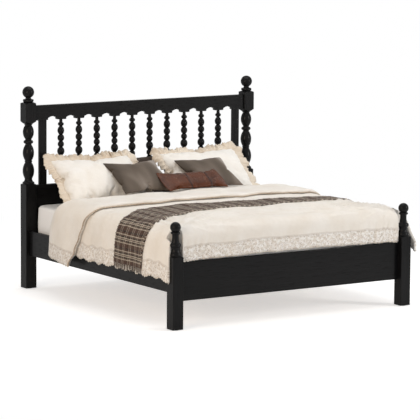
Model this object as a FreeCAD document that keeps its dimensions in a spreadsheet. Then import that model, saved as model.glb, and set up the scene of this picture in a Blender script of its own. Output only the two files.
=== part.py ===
import FreeCAD, Part
import Sketcher
import math
import os
import re

# A king-size spindle bed, dressed. X runs across the bed, +Y points to the headboard,
# Z is up, and the origin lies on the floor under the middle. All sizes are in millimetres.

SIZES = [
    # mattress and the four posts
    ("mattress_width", 1930, "king mattress across the bed"),
    ("mattress_length", 2030, "king mattress along the bed"),
    ("mattress_depth", 290, "mattress top to bottom"),
    ("mattress_corner", 110, "corner radius of the mattress in plan"),
    ("mattress_edge", 40, "rounding of the mattress along its top and bottom edges"),
    ("mattress_side_gap", 17, "mattress to a side rail"),
    ("mattress_end_gap", 1.5, "mattress to the boards at its ends"),
    ("head_post_width", 90, "square blank of a head post"),
    ("foot_post_width", 86, "square blank of a foot post"),
    ("post_edge_radius", 4, "eased long edges of a post"),
    ("glide_thickness", 4, "felt glide under a post"),
    ("glide_radius", 32, "felt glide under a post"),
    # head post, from the floor up
    ("head_square_top", 800, "floor to the top of the lower square"),
    ("head_ring_height", 12, "ring that stands on the lower square"),
    ("head_ring_radius", 44, "ring that stands on the lower square"),
    ("head_flare_height", 31, "hollow from the ring up to the neck"),
    ("head_neck_radius", 26, "necks between the turned forms"),
    ("low_egg_height", 117, "lowest egg"),
    ("low_egg_radius", 44, "lowest egg"),
    ("small_bead_gap", 3, "neck under the small bead"),
    ("small_bead_height", 14, "small bead over the lowest egg"),
    ("small_bead_radius", 29, "small bead over the lowest egg"),
    ("middle_egg_height", 119, "middle egg"),
    ("middle_egg_radius", 43, "middle egg"),
    ("sharp_bead_gap", 9, "necks under and over the sharp bead"),
    ("sharp_bead_height", 26, "sharp bead between two eggs"),
    ("sharp_bead_radius", 37, "sharp bead between two eggs"),
    ("top_egg_height", 103, "upper egg"),
    ("top_egg_radius", 42, "upper egg"),
    ("head_shoulder_height", 26, "turned slope from the upper egg to the square block"),
    ("head_block_height", 148, "square block that holds the crest rail"),
    ("head_cap_height", 5, "slope from the block to the ring under the ball"),
    ("head_collar_radius", 41, "ring under the ball"),
    ("head_collar_height", 19, "ring under the ball"),
    ("head_throat_height", 14, "hollow between ring and ball"),
    ("head_throat_radius", 21, "hollow between ring and ball"),
    ("head_ball_radius", 45, "ball finial of a head post"),
    # foot post, from the floor up
    ("foot_square_top", 518, "floor to the top of the square"),
    ("foot_ring_height", 24, "ring that stands on the square"),
    ("foot_ring_radius", 41, "ring that stands on the square"),
    ("foot_waist_height", 40, "hollow over the ring"),
    ("foot_waist_radius", 29, "hollow over the ring"),
    ("foot_bead_height", 32, "large bead over the hollow"),
    ("foot_bead_radius", 41, "large bead over the hollow"),
    ("foot_column_height", 60, "plain column"),
    ("foot_column_radius", 23.5, "plain column"),
    ("foot_collar_height", 15, "collar over the column"),
    ("foot_collar_radius", 34, "collar over the column"),
    ("foot_ball_radius", 38, "ball finial of a foot post"),
    # headboard
    ("headboard_setback", 15, "post front face to crest rail front face"),
    ("crest_thickness", 34, "crest rail front to back"),
    ("crest_height", 114, "crest rail bottom to top"),
    ("crest_drop", 10, "crest rail bottom over the bottom of the square block"),
    ("arch_depth", 27, "height of a scallop in the crest rail"),
    ("arch_bow", 9, "rise of the bowed crown of a scallop"),
    ("arch_crown", 66, "width of the bowed crown of a scallop"),
    ("arch_foot", 96, "width of a scallop at the bottom of the rail"),
    ("spindle_count", 10, "turned spindles"),
    ("spindle_end_space", 129.5, "outermost spindle's middle to the upright beside it"),
    ("sill_top", 789, "floor to the rail that the spindles stand on"),
    ("sill_height", 28, "moulded rail that the spindles stand on"),
    ("sill_thickness", 42, "moulded rail front to back"),
    ("sill_bead_radius", 6, "rounded top edges of the moulded rail"),
    ("sill_tongue", 6, "panel tongue up into the moulded rail"),
    ("panel_bottom", 256, "floor to the headboard panel"),
    ("panel_thickness", 24, "headboard panel"),
    ("stile_width", 63, "flat upright beside the spindles"),
    ("stile_thickness", 20, "flat upright beside the spindles"),
    ("stile_gap", 38, "post face to upright"),
    ("tenon_length", 35, "rail and panel tenons in the posts"),
    ("tenon_thickness", 14, "rail and panel tenons in the posts"),
    ("tenon_shoulder", 12, "rail edge to tenon"),
    ("joint_gap", 0.2, "glue clearance round tenons and pins"),
    ("hole_spare", 1, "hole past the end of its pin or tenon"),
    ("tenon_cheek", 4, "face of a stile to its tenon"),
    # spindle, from either end to the ball in the middle
    ("pin_length", 18, "round tenon of a spindle"),
    ("pin_radius", 9, "round tenon of a spindle"),
    ("spindle_neck_length", 24, "plain neck at an end of a spindle"),
    ("spindle_neck_radius", 12, "plain neck at an end of a spindle"),
    ("spindle_bead_length", 27, "end bead of a spindle"),
    ("spindle_bead_radius", 23, "end bead of a spindle"),
    ("spindle_waist_length", 6, "waist between bead and balls"),
    ("spindle_waist_radius", 13, "waists of a spindle"),
    ("outer_ball_length", 60, "first ball of a spindle"),
    ("outer_ball_radius", 26, "first ball of a spindle"),
    ("second_ball_length", 52, "second ball of a spindle"),
    ("second_ball_radius", 26, "second ball of a spindle"),
    ("third_ball_length", 45, "third ball of a spindle"),
    ("third_ball_radius", 24, "third ball of a spindle"),
    ("centre_ball_radius", 28, "ball in the middle of a spindle"),
    # footboard
    ("footboard_bottom", 197, "floor to the footboard"),
    ("footboard_top", 473, "floor to the top of the footboard cap"),
    ("footboard_thickness", 22, "footboard panel"),
    ("footboard_setback", 43, "foot post front face to footboard face"),
    ("cap_height", 13, "footboard cap"),
    ("cap_overhang", 5, "footboard cap in front of the panel"),
    ("cap_inner_overhang", 1, "footboard cap behind the panel"),
    ("cap_tongue", 8, "panel tongue up into the cap"),
    ("cap_rounding", 4, "rounded top edges of the footboard cap"),
    # side rails, ledgers, slats and centre support
    ("side_rail_bottom", 256, "floor to a side rail"),
    ("side_rail_height", 186, "side rail"),
    ("side_rail_thickness", 25, "side rail"),
    ("side_rail_inset", 27, "foot post outer face to side rail face"),
    ("ledger_height", 40, "ledger inside a side rail"),
    ("ledger_thickness", 25, "ledger inside a side rail"),
    ("ledger_end_gap", 30, "ledger end to rail end"),
    ("slat_count", 11, "cross slats"),
    ("slat_width", 100, "cross slat"),
    ("slat_thickness", 20, "cross slat"),
    ("slat_side_gap", 3, "slat end to side rail"),
    ("slat_end_margin", 40, "first slat to the end of the mattress"),
    ("slat_top", 345, "floor to the mattress"),
    ("beam_width", 56, "centre beam"),
    ("beam_height", 70, "centre beam"),
    ("beam_end_gap", 4, "beam end to board"),
    ("bracket_sheet", 3, "steel of a beam bracket"),
    ("bracket_reach", 60, "beam bracket along the beam"),
    ("bracket_flange", 26, "beam bracket wing beside the beam"),
    ("bracket_gap", 0.5, "beam to bracket cheek"),
    ("leg_width", 50, "centre leg"),
    ("leg_bolt_radius", 4, "bolt through the beam into the leg"),
    ("leg_bolt_grip", 60, "bolt inside the leg"),
    ("leg_bolt_head_radius", 9, "flat head of the leg bolt"),
    ("leg_bolt_head", 5, "flat head of the leg bolt"),
    ("foot_pad_radius", 22, "pad of the levelling foot"),
    ("foot_pad_height", 9, "pad of the levelling foot"),
    ("foot_stem_radius", 5, "threaded stem of the levelling foot"),
    ("foot_stem_length", 50, "threaded stem of the levelling foot"),
    ("foot_fit", 0.06, "stem to insert, on the radius"),
    ("foot_bore_spare", 4, "bore past the end of the stem"),
    ("insert_radius", 8, "threaded insert in the leg"),
    ("insert_length", 22, "threaded insert in the leg"),
    # rail fittings and screws
    ("hook_plate_thickness", 3, "rail and post plates"),
    ("hook_plate_width", 18, "rail and post plates"),
    ("hook_plate_height", 130, "rail and post plates"),
    ("hook_width", 5, "hook on a rail plate"),
    ("hook_height", 26, "hook on a rail plate"),
    ("hook_reach", 9, "hook through the post plate"),
    ("hook_lip", 6, "hook tip below its root"),
    ("hook_spacing", 62, "two hooks of one plate"),
    ("hook_clearance", 0.8, "hook to slot"),
    ("hook_pocket", 13, "pocket in a post behind its plate"),
    ("plate_screw_offset", 56, "plate middle to a screw"),
    ("plate_screw_radius", 2, "plate screw shank"),
    ("plate_screw_head", 4, "plate screw head radius"),
    ("plate_screw_length", 24, "plate screw"),
    ("timber_screw_radius", 2.25, "timber screw shank"),
    ("timber_screw_head", 4.5, "timber screw head radius"),
    ("timber_screw_length", 38, "timber screw"),
    ("ledger_screw_count", 5, "screws in a ledger"),
    ("hole_gap", 0.1, "screw to its hole, on the radius"),
    # bedding
    ("soft_gap", 0.3, "air between soft pieces and what they touch"),
    ("duvet_drape", 38, "duvet thickness where it hangs"),
    ("duvet_loft", 80, "duvet thickness on the mattress"),
    ("duvet_crown", 14, "rise of the duvet to the middle of the bed"),
    ("duvet_shoulder", 92, "rounding of the duvet over the side of the bed"),
    ("duvet_hem_height", 357, "floor to the side hem"),
    ("duvet_foot_hem_height", 497, "floor to the foot hem"),
    ("duvet_foot_thickness", 34, "duvet where it hangs at the foot"),
    ("duvet_head_space", 486, "headboard to the folded edge near the pillows"),
    ("duvet_side_space", 394, "headboard to the folded edge where it hangs at the side"),
    ("duvet_fold_length", 478, "turned-back part along the bed"),
    ("duvet_fold_loft", 24, "rise of the turned-back part"),
    ("duvet_fold_drop", 42, "how far the turned-back part hangs below the side hem"),
    ("duvet_roll", 110, "rounding of the duvet's edge near the pillows"),
    ("fold_depth", 14, "depth of the hanging folds"),
    ("fold_pitch", 210, "hanging folds along the bed"),
    ("post_clearance", 12, "duvet to foot post"),
    ("rail_clearance", 3, "duvet to side rail"),
    ("throw_thickness", 7, "woven throw"),
    ("throw_hem_height", 392, "floor to the throw's hem"),
    ("throw_hem_head", -300, "throw's edge toward the pillows, where it hangs on the left"),
    ("throw_hem_foot", -665, "throw's edge toward the foot, where it hangs on the left"),
    ("throw_top_head", -54, "throw's edge toward the pillows, on the left of the top"),
    ("throw_top_foot", -488, "throw's edge toward the foot, on the left of the top"),
    ("throw_right_head", -180, "throw's edge toward the pillows, on the right"),
    ("throw_right_foot", -415, "throw's edge toward the foot, on the right"),
    ("throw_bend", 690, "bed middle to where the throw turns askew"),
    ("sham_width", 830, "sham with its ruffle"),
    ("sham_height", 575, "sham with its ruffle"),
    ("sham_front", 50, "crown of a sham in front"),
    ("sham_back", 46, "crown of a sham behind"),
    ("sham_lean", 42, "degrees from lying flat"),
    ("sham_setback", 28, "spindle balls to the top of a sham"),
    ("sham_left_centre", -530, "left sham across the bed"),
    ("sham_right_centre", 436, "right sham across the bed"),
    ("cushion_width", 430, "velvet cushion"),
    ("cushion_height", 380, "velvet cushion"),
    ("cushion_front", 34, "crown of a velvet cushion in front"),
    ("cushion_back_crown", 26, "crown of a velvet cushion behind"),
    ("cushion_left_lean", 31, "degrees from lying flat"),
    ("cushion_right_lean", 29, "degrees from lying flat"),
    ("cushion_step", 106, "sham foot to velvet cushion foot"),
    ("cushion_left_centre", -275, "left velvet cushion across the bed"),
    ("cushion_right_centre", 350, "right velvet cushion across the bed"),
    ("lumbar_width", 560, "leather lumbar cushion"),
    ("lumbar_height", 250, "leather lumbar cushion"),
    ("lumbar_front", 48, "crown of the lumbar cushion in front"),
    ("lumbar_back", 10, "crown of the lumbar cushion behind"),
    ("lumbar_lean", 30, "degrees from lying flat"),
    ("lumbar_step", 84, "velvet cushion foot to lumbar cushion foot"),
    ("lumbar_centre", 110, "lumbar cushion across the bed"),
    ("rear_cushion_width", 360, "brown cushion behind the shams"),
    ("rear_cushion_crown", 18, "crown of the brown cushion"),
    ("rear_cushion_lean", 66, "degrees from lying flat"),
    ("rear_cushion_centre", -65, "brown cushion across the bed"),
    ("cushion_rim", 7, "half thickness of a cushion at its seam"),
    ("cushion_pull", 9, "how far a cushion's sides are drawn in between its corners"),
]

doc = FreeCAD.newDocument("spindle_bed")
sheet = doc.addObject("Spreadsheet::Sheet", "sizes")
for row, (alias, number, meaning) in enumerate(SIZES, start=1):
    sheet.set(f"A{row}", meaning)
    sheet.set(f"B{row}", str(number))
    sheet.setAlias(f"B{row}", alias)
doc.recompute()

ALIASES = {alias for alias, number, meaning in SIZES}
ALONG_X = FreeCAD.Rotation(FreeCAD.Vector(0, 1, 0), 90)
ALONG_Y = FreeCAD.Rotation(FreeCAD.Vector(1, 0, 0), -90)
UPWARD = FreeCAD.Rotation()
DOWNWARD = FreeCAD.Rotation(FreeCAD.Vector(1, 0, 0), 180)
SIDES = (("left", -1), ("right", 1))
nodes = {}


def in_sheet(expression):
    """Point each size named in an expression at its cell of the sheet."""
    return re.sub(
        r"[a-z_][a-z_0-9]*",
        lambda word: f"sizes.{word.group()}" if word.group() in ALIASES else word.group(),
        str(expression),
    )


def value(expression):
    """The number that an expression of named sizes gives."""
    return float(sheet.evalExpression(in_sheet(expression).replace("sizes.", "")))


def bind(thing, prop, expression):
    thing.setExpression(prop, in_sheet(expression))


def place(thing, x, y, z, rotation=UPWARD):
    """Turn a thing, then bind the place of its own origin to the sheet."""
    thing.Placement = FreeCAD.Placement(FreeCAD.Vector(), rotation)
    for axis, expression in zip("xyz", (x, y, z)):
        bind(thing, f"Placement.Base.{axis}", expression)
    return thing


def box(size, corner):
    """A block from its lowest corner."""
    block = doc.addObject("Part::Box", "block")
    for prop, expression in zip(("Length", "Width", "Height"), size):
        bind(block, prop, expression)
    return place(block, *corner)


def rod(radius, length, base, rotation=UPWARD):
    """A cylinder from the middle of its base."""
    bar = doc.addObject("Part::Cylinder", "rod")
    bind(bar, "Radius", radius)
    bind(bar, "Height", length)
    return place(bar, *base, rotation)


def fuse(things):
    joined = doc.addObject("Part::MultiFuse", "joined")
    joined.Shapes = things
    return joined


def cut(base, tools):
    """A base less its tools."""
    if not tools:
        return base
    result = doc.addObject("Part::Cut", "worked")
    result.Base = base
    result.Tool = tools[0] if len(tools) == 1 else fuse(tools)
    return result


def group(things):
    """Separate solids that share one node."""
    together = doc.addObject("Part::Compound", "group")
    together.Links = things
    return together


def node(label, thing):
    """Name a finished sub-part."""
    thing.Label = label
    nodes[label] = thing
    return thing


def total(*terms):
    return "(" + " + ".join(f"({term})" for term in terms) + ")"


def less(*terms):
    """The first term less all the others."""
    return "(" + " - ".join(f"({term})" for term in terms) + ")"


def pin(sketch, geometry, end, x, y):
    """Hold one sketch point at bound distances from the origin."""
    for kind, axis, distance in (("DistanceX", -2, x), ("DistanceY", -1, y)):
        if str(distance) == "0":
            sketch.addConstraint(Sketcher.Constraint("PointOnObject", geometry, end, axis))
            continue
        number = sketch.addConstraint(
            Sketcher.Constraint(kind, -1, 1, geometry, end, value(distance))
        )
        name = f"{kind}_{geometry}_{end}"
        sketch.renameConstraint(number, name)
        bind(sketch, f"Constraints.{name}", distance)


def arc_through(start, bow, end):
    """A counter-clockwise arc through three points, and whether they run the other way."""
    middle = Part.Arc(start, bow, end).toShape().Curve.Center
    opening, closing = (
        math.atan2(point.y - middle.y, point.x - middle.x) for point in (start, end)
    )
    clockwise = (bow - start).cross(end - bow).z < 0
    if clockwise:
        opening, closing = closing, opening
    if closing < opening:
        closing += 2 * math.pi
    circle = Part.Circle(middle, FreeCAD.Vector(0, 0, 1), start.distanceToPoint(middle))
    return Part.ArcOfCircle(circle, opening, closing), clockwise


def outline(sketch, points):
    """Draw a closed loop. A point is (x, y), or (x, y, bow_x, bow_y) where an arc leads to it."""

    def spot(x, y):
        return FreeCAD.Vector(value(x), value(y), 0)

    first = sketch.GeometryCount
    bows = []
    ends = []
    for here, there in zip(points, points[1:] + points[:1]):
        start, end = spot(*here[:2]), spot(*there[:2])
        bow = there[2:] or None
        if bow:
            edge, backwards = arc_through(start, spot(*bow), end)
        else:
            edge, backwards = Part.LineSegment(start, end), False
        sketch.addGeometry(edge, False)
        bows.append(bow)
        ends.append((2, 1) if backwards else (1, 2))
    for offset, point in enumerate(points):
        own_start, own_end = ends[offset]
        pin(sketch, first + offset, own_start, *point[:2])
        after = (offset + 1) % len(points)
        sketch.addConstraint(
            Sketcher.Constraint(
                "Coincident", first + offset, own_end, first + after, ends[after][0]
            )
        )
    for offset, bow in enumerate(bows):
        if bow is not None:
            dot = sketch.addGeometry(Part.Point(spot(*bow)), True)
            pin(sketch, dot, 1, *bow)
            sketch.addConstraint(Sketcher.Constraint("PointOnObject", dot, 1, first + offset))


def upright_sketch(name, points):
    """A free-standing outline in the XZ plane."""
    sketch = doc.addObject("Sketcher::SketchObject", name)
    sketch.Placement.Rotation = FreeCAD.Rotation(FreeCAD.Vector(1, 0, 0), 90)
    outline(sketch, points)
    return sketch


def turned(sketch, base, rotation=UPWARD):
    """Turn an outline about the vertical axis of its own sketch."""
    solid = doc.addObject("Part::Revolution", "turned")
    solid.Source = sketch
    solid.Axis = FreeCAD.Vector(0, 0, 1)
    solid.Base = FreeCAD.Vector(0, 0, 0)
    solid.Angle = 360
    solid.Solid = True
    return place(solid, *base, rotation)


def body_plane(body, role):
    return next(plane for plane in body.Origin.OriginFeatures if plane.Role == role)


def body_sketch(body, name, role, points):
    """An outline on one of a body's own planes."""
    sketch = body.newObject("Sketcher::SketchObject", name)
    sketch.AttachmentSupport = [(body_plane(body, role), "")]
    sketch.MapMode = "FlatFace"
    outline(sketch, points)
    return sketch


# ---------------------------------------------------------------- shared places

POST_DIFFERENCE = less("head_post_width", "foot_post_width")
POST_SPAN_ALONG = total(
    "mattress_length", "2 * mattress_end_gap", f"{POST_DIFFERENCE} / 2",
    "footboard_setback", "footboard_thickness",
    "(panel_thickness - crest_thickness) / 2 - headboard_setback",
)
HEAD_POST_Y = less(f"{POST_SPAN_ALONG} / 2", f"{POST_DIFFERENCE} / 4")
FOOT_POST_Y = less(f"-1 * {POST_SPAN_ALONG} / 2", f"{POST_DIFFERENCE} / 4")
POST_X = less(
    total("mattress_width / 2", "mattress_side_gap", "side_rail_thickness", "side_rail_inset"),
    "foot_post_width / 2",
)
HEAD_FACE_Y = less(HEAD_POST_Y, "head_post_width / 2")
FOOT_FACE_Y = total(FOOT_POST_Y, "foot_post_width / 2")
BOARD_HALF = less(POST_X, "head_post_width / 2")
FOOTBOARD_HALF = less(POST_X, "foot_post_width / 2")
HEADBOARD_Y = total(HEAD_FACE_Y, "headboard_setback", "crest_thickness / 2")
FOOTBOARD_FRONT = total(less(FOOT_POST_Y, "foot_post_width / 2"), "footboard_setback")
FOOTBOARD_BACK = total(FOOTBOARD_FRONT, "footboard_thickness")
PANEL_FRONT = less(HEADBOARD_Y, "panel_thickness / 2")
RAIL_OUTER = total(POST_X, less("foot_post_width / 2", "side_rail_inset"))
RAIL_INNER = less(RAIL_OUTER, "side_rail_thickness")
SLAT_BOTTOM = less("slat_top", "slat_thickness")
BEAM_BOTTOM = less(SLAT_BOTTOM, "beam_height")
MATTRESS_TOP = total("slat_top", "mattress_depth")
MATTRESS_Y = f"(({PANEL_FRONT} + {FOOTBOARD_BACK}) / 2)"
MATTRESS_FOOT = less(MATTRESS_Y, "mattress_length / 2")
PANEL_TOP = less("sill_top", "sill_height")

LOW_EGG_FOOT = total("head_square_top", "head_ring_height", "head_flare_height")
LOW_EGG_TOP = total(LOW_EGG_FOOT, "low_egg_height")
SMALL_BEAD_FOOT = total(LOW_EGG_TOP, "small_bead_gap")
SMALL_BEAD_TOP = total(SMALL_BEAD_FOOT, "small_bead_height")
MIDDLE_EGG_TOP = total(SMALL_BEAD_TOP, "middle_egg_height")
SHARP_BEAD_FOOT = total(MIDDLE_EGG_TOP, "sharp_bead_gap")
SHARP_BEAD_TOP = total(SHARP_BEAD_FOOT, "sharp_bead_height")
TOP_EGG_FOOT = total(SHARP_BEAD_TOP, "sharp_bead_gap")
TOP_EGG_TOP = total(TOP_EGG_FOOT, "top_egg_height")
BLOCK_BOTTOM = total(TOP_EGG_TOP, "head_shoulder_height")
BLOCK_TOP = total(BLOCK_BOTTOM, "head_block_height")
COLLAR_FOOT = total(BLOCK_TOP, "head_cap_height")
COLLAR_TOP = total(COLLAR_FOOT, "head_collar_height")
THROAT_TOP = total(COLLAR_TOP, "head_throat_height")
CREST_BOTTOM = total(BLOCK_BOTTOM, "crest_drop")
CREST_TOP = total(CREST_BOTTOM, "crest_height")


def ball_rise(neck, ball):
    """Height from a ball's neck to its middle, where the neck cuts the round."""
    return f"sqrt({ball} * {ball} - {neck} * {neck})"


def egg(foot, height, radius, neck_radius):
    """One rounded form from neck to neck."""
    return (neck_radius, total(foot, height), radius, total(foot, f"{height} / 2"))


# ---------------------------------------------------------------- posts


def post_blank(name, side, height):
    """A square length of timber with eased long edges, standing on its glide."""
    body = doc.addObject("PartDesign::Body", name)
    half = f"{side} / 2"
    square = body.newObject("Sketcher::SketchObject", name + "_square")
    square.AttachmentSupport = [(body_plane(body, "XY_Plane"), "")]
    square.MapMode = "FlatFace"
    reach = value(half)
    corners = [(-reach, -reach), (reach, -reach), (reach, reach), (-reach, reach)]
    for start, end in zip(corners, corners[1:] + corners[:1]):
        square.addGeometry(
            Part.LineSegment(FreeCAD.Vector(*start, 0), FreeCAD.Vector(*end, 0)), False
        )
    for edge in range(4):
        square.addConstraint(Sketcher.Constraint("Coincident", edge, 2, (edge + 1) % 4, 1))
    for edge, kind in enumerate(("Horizontal", "Vertical", "Horizontal", "Vertical")):
        square.addConstraint(Sketcher.Constraint(kind, edge))
    square.addConstraint(Sketcher.Constraint("Symmetric", 0, 1, 1, 2, -1, 1))
    for edge, kind in ((0, "DistanceX"), (1, "DistanceY")):
        number = square.addConstraint(Sketcher.Constraint(kind, edge, 1, edge, 2, 2 * reach))
        square.renameConstraint(number, kind)
        bind(square, f"Constraints.{kind}", side)
    blank = body.newObject("PartDesign::Pad", name + "_blank")
    blank.Profile = square
    bind(blank, "Length", less(height, "glide_thickness"))
    doc.recompute()
    long_edges = [
        f"Edge{number}"
        for number, edge in enumerate(blank.Shape.Edges, start=1)
        if abs(edge.tangentAt(edge.FirstParameter).z) > 0.99
    ]
    easing = body.newObject("PartDesign::Fillet", name + "_easing")
    easing.Base = (blank, long_edges)
    bind(easing, "Radius", "post_edge_radius")
    return body


def turn_down(body, name, points):
    """Turn away what lies outside a profile, as on a lathe."""
    before = body.Tip.Shape.Volume
    waste = body_sketch(body, name, "XZ_Plane", points)
    groove = body.newObject("PartDesign::Groove", name + "_cut")
    groove.Profile = waste
    groove.ReferenceAxis = (waste, ["V_Axis"])
    groove.Angle = 360
    doc.recompute()
    if groove.Shape.Volume >= before:
        raise RuntimeError(f"{name} turned nothing away")
    return groove


def lifted(points):
    """Heights over the floor, seen from a post's own foot on its glide."""
    own = []
    for point in points:
        own.append(
            tuple(
                less(part, "glide_thickness") if position % 2 else part
                for position, part in enumerate(point)
            )
        )
    return own


HEAD_OUTSIDE = "(head_post_width * 0.75)"
FOOT_OUTSIDE = "(foot_post_width * 0.75)"
HEAD_BALL_MIDDLE = total(THROAT_TOP, ball_rise("head_throat_radius", "head_ball_radius"))
HEAD_POST_TOP = total(HEAD_BALL_MIDDLE, "head_ball_radius")


def head_post_profile():
    """Waste round the turned length between the lower square and the block."""
    neck = "head_neck_radius"
    return [
        (HEAD_OUTSIDE, less("head_square_top", "8")),
        ("head_ring_radius", "head_square_top"),
        (
            "head_ring_radius",
            total("head_square_top", "head_ring_height"),
            "(head_ring_radius + 1.5)",
            total("head_square_top", "head_ring_height / 2"),
        ),
        (
            "(head_neck_radius + 4)",
            LOW_EGG_FOOT,
            "(head_neck_radius * 0.62 + head_ring_radius * 0.38)",
            total("head_square_top", "head_ring_height", "head_flare_height * 0.3"),
        ),
        egg(LOW_EGG_FOOT, "low_egg_height", "low_egg_radius", neck),
        (neck, SMALL_BEAD_FOOT),
        egg(SMALL_BEAD_FOOT, "small_bead_height", "small_bead_radius", neck),
        egg(SMALL_BEAD_TOP, "middle_egg_height", "middle_egg_radius", less(neck, "2")),
        (less(neck, "2"), SHARP_BEAD_FOOT),
        egg(SHARP_BEAD_FOOT, "sharp_bead_height", "sharp_bead_radius", less(neck, "2")),
        (less(neck, "2"), TOP_EGG_FOOT),
        egg(TOP_EGG_FOOT, "top_egg_height", "top_egg_radius", neck),
        (
            "(head_post_width / 2)",
            less(BLOCK_BOTTOM, "6"),
            "(head_neck_radius * 0.62 + head_post_width * 0.19)",
            total(TOP_EGG_TOP, "head_shoulder_height * 0.45"),
        ),
        (HEAD_OUTSIDE, total(BLOCK_BOTTOM, "10")),
    ]


def head_finial_profile():
    """Waste round the ball and its ring over the block."""
    return [
        (HEAD_OUTSIDE, less(BLOCK_TOP, "8")),
        ("(head_post_width / 2 - 2)", BLOCK_TOP),
        ("head_throat_radius + 9", total(BLOCK_TOP, "head_cap_height * 0.6")),
        ("head_collar_radius - 3", COLLAR_FOOT),
        (
            "head_collar_radius - 3",
            COLLAR_TOP,
            "head_collar_radius",
            total(COLLAR_FOOT, "head_collar_height / 2"),
        ),
        (
            "head_throat_radius",
            THROAT_TOP,
            "(head_throat_radius + 1)",
            less(THROAT_TOP, "head_throat_height * 0.5"),
        ),
        ("0", HEAD_POST_TOP, "head_ball_radius", HEAD_BALL_MIDDLE),
        ("0", total(HEAD_POST_TOP, "5")),
        (HEAD_OUTSIDE, total(HEAD_POST_TOP, "5")),
    ]


FOOT_WAIST_FOOT = total("foot_square_top", "foot_ring_height")
FOOT_BEAD_FOOT = total(FOOT_WAIST_FOOT, "foot_waist_height")
FOOT_COLUMN_FOOT = total(FOOT_BEAD_FOOT, "foot_bead_height")
FOOT_COLLAR_FOOT = total(FOOT_COLUMN_FOOT, "foot_column_height")
FOOT_BALL_FOOT = total(FOOT_COLLAR_FOOT, "foot_collar_height")
FOOT_BALL_MIDDLE = total(FOOT_BALL_FOOT, ball_rise("(foot_column_radius - 4)", "foot_ball_radius"))
FOOT_POST_TOP = total(FOOT_BALL_MIDDLE, "foot_ball_radius")


def foot_post_profile():
    """Waste round everything that is turned over the foot post's square."""
    return [
        (FOOT_OUTSIDE, less("foot_square_top", "8")),
        ("(foot_ring_radius - 2)", "foot_square_top"),
        (
            "(foot_ring_radius - 4)",
            FOOT_WAIST_FOOT,
            "foot_ring_radius",
            total("foot_square_top", "foot_ring_height / 2"),
        ),
        (
            "(foot_waist_radius + 2)",
            FOOT_BEAD_FOOT,
            "foot_waist_radius",
            less(FOOT_BEAD_FOOT, "foot_waist_height * 0.4"),
        ),
        (
            "(foot_column_radius + 4)",
            FOOT_COLUMN_FOOT,
            "foot_bead_radius",
            total(FOOT_BEAD_FOOT, "foot_bead_height * 0.45"),
        ),
        (
            "(foot_column_radius + 1)",
            FOOT_COLLAR_FOOT,
            "foot_column_radius",
            total(FOOT_COLUMN_FOOT, "foot_column_height * 0.6"),
        ),
        (
            "(foot_column_radius - 4)",
            FOOT_BALL_FOOT,
            "foot_collar_radius",
            total(FOOT_COLLAR_FOOT, "foot_collar_height / 2"),
        ),
        ("0", FOOT_POST_TOP, "foot_ball_radius", FOOT_BALL_MIDDLE),
        ("0", total(FOOT_POST_TOP, "5")),
        (FOOT_OUTSIDE, total(FOOT_POST_TOP, "5")),
    ]


# ---------------------------------------------------------------- screws and rail fittings


def screw_outline(name, radius, head, length, gap):
    """Half of a countersunk screw, its head's top at the sketch's origin, pointing down."""
    return upright_sketch(
        name,
        [
            ("0", "0"),
            (total(head, gap), "0"),
            (total(radius, gap), f"({head} - {radius})"),
            (total(radius, gap), total(length, gap)),
            ("0", total(length, gap)),
        ],
    )


PLATE_SCREW = screw_outline(
    "plate_screw", "plate_screw_radius", "plate_screw_head", "plate_screw_length", "0"
)
PLATE_HOLE = screw_outline(
    "plate_hole", "plate_screw_radius", "plate_screw_head", "plate_screw_length", "hole_gap"
)
TIMBER_SCREW = screw_outline(
    "timber_screw", "timber_screw_radius", "timber_screw_head", "timber_screw_length", "0"
)
TIMBER_HOLE = screw_outline(
    "timber_hole", "timber_screw_radius", "timber_screw_head", "timber_screw_length", "hole_gap"
)

RAIL_MIDDLE_X = less(RAIL_OUTER, "side_rail_thickness / 2")
RAIL_MIDDLE_Z = total("side_rail_bottom", "side_rail_height / 2")


def signed(sign, expression):
    return f"({expression})" if sign > 0 else f"(-1 * ({expression}))"


def along(sign):
    return ALONG_Y if sign > 0 else ALONG_Y.inverted()


def rail_ends():
    """Every joint between a side rail and a post: side name, across, along, post face."""
    for side, across in SIDES:
        for end, face in ((1, HEAD_FACE_Y), (-1, FOOT_FACE_Y)):
            yield side, across, end, face


def slab_at_face(across, end, face, into_post, width, depth, height, shift=0, lift="0"):
    """A block on a post face, centred on the rail, reaching into the post or the rail."""
    toward = end if into_post else -end
    start = total(face, shift)
    low = start if toward > 0 else less(start, depth)
    return box(
        (width, depth, height),
        (
            less(signed(across, RAIL_MIDDLE_X), f"{width} / 2"),
            low,
            less(total(RAIL_MIDDLE_Z, lift), f"{height} / 2"),
        ),
    )


HOOK_LIFTS = ("hook_spacing / 2", "(-1 * hook_spacing / 2)")
SCREW_LIFTS = ("plate_screw_offset", "(-1 * plate_screw_offset)")


def post_plate(across, end, face):
    """Slotted plate let into a post."""
    plate = slab_at_face(
        across, end, face, True,
        "hook_plate_width", "hook_plate_thickness", "hook_plate_height",
    )
    slots = [
        slab_at_face(
            across, end, face, True,
            "(hook_width + 2 * hook_clearance)",
            "hook_plate_thickness",
            "(hook_height + hook_lip + 2 * hook_clearance)",
            lift=less(lift, "hook_lip / 2"),
        )
        for lift in HOOK_LIFTS
    ]
    return cut(plate, slots + plate_screws(across, end, face, True, PLATE_HOLE))


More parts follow.
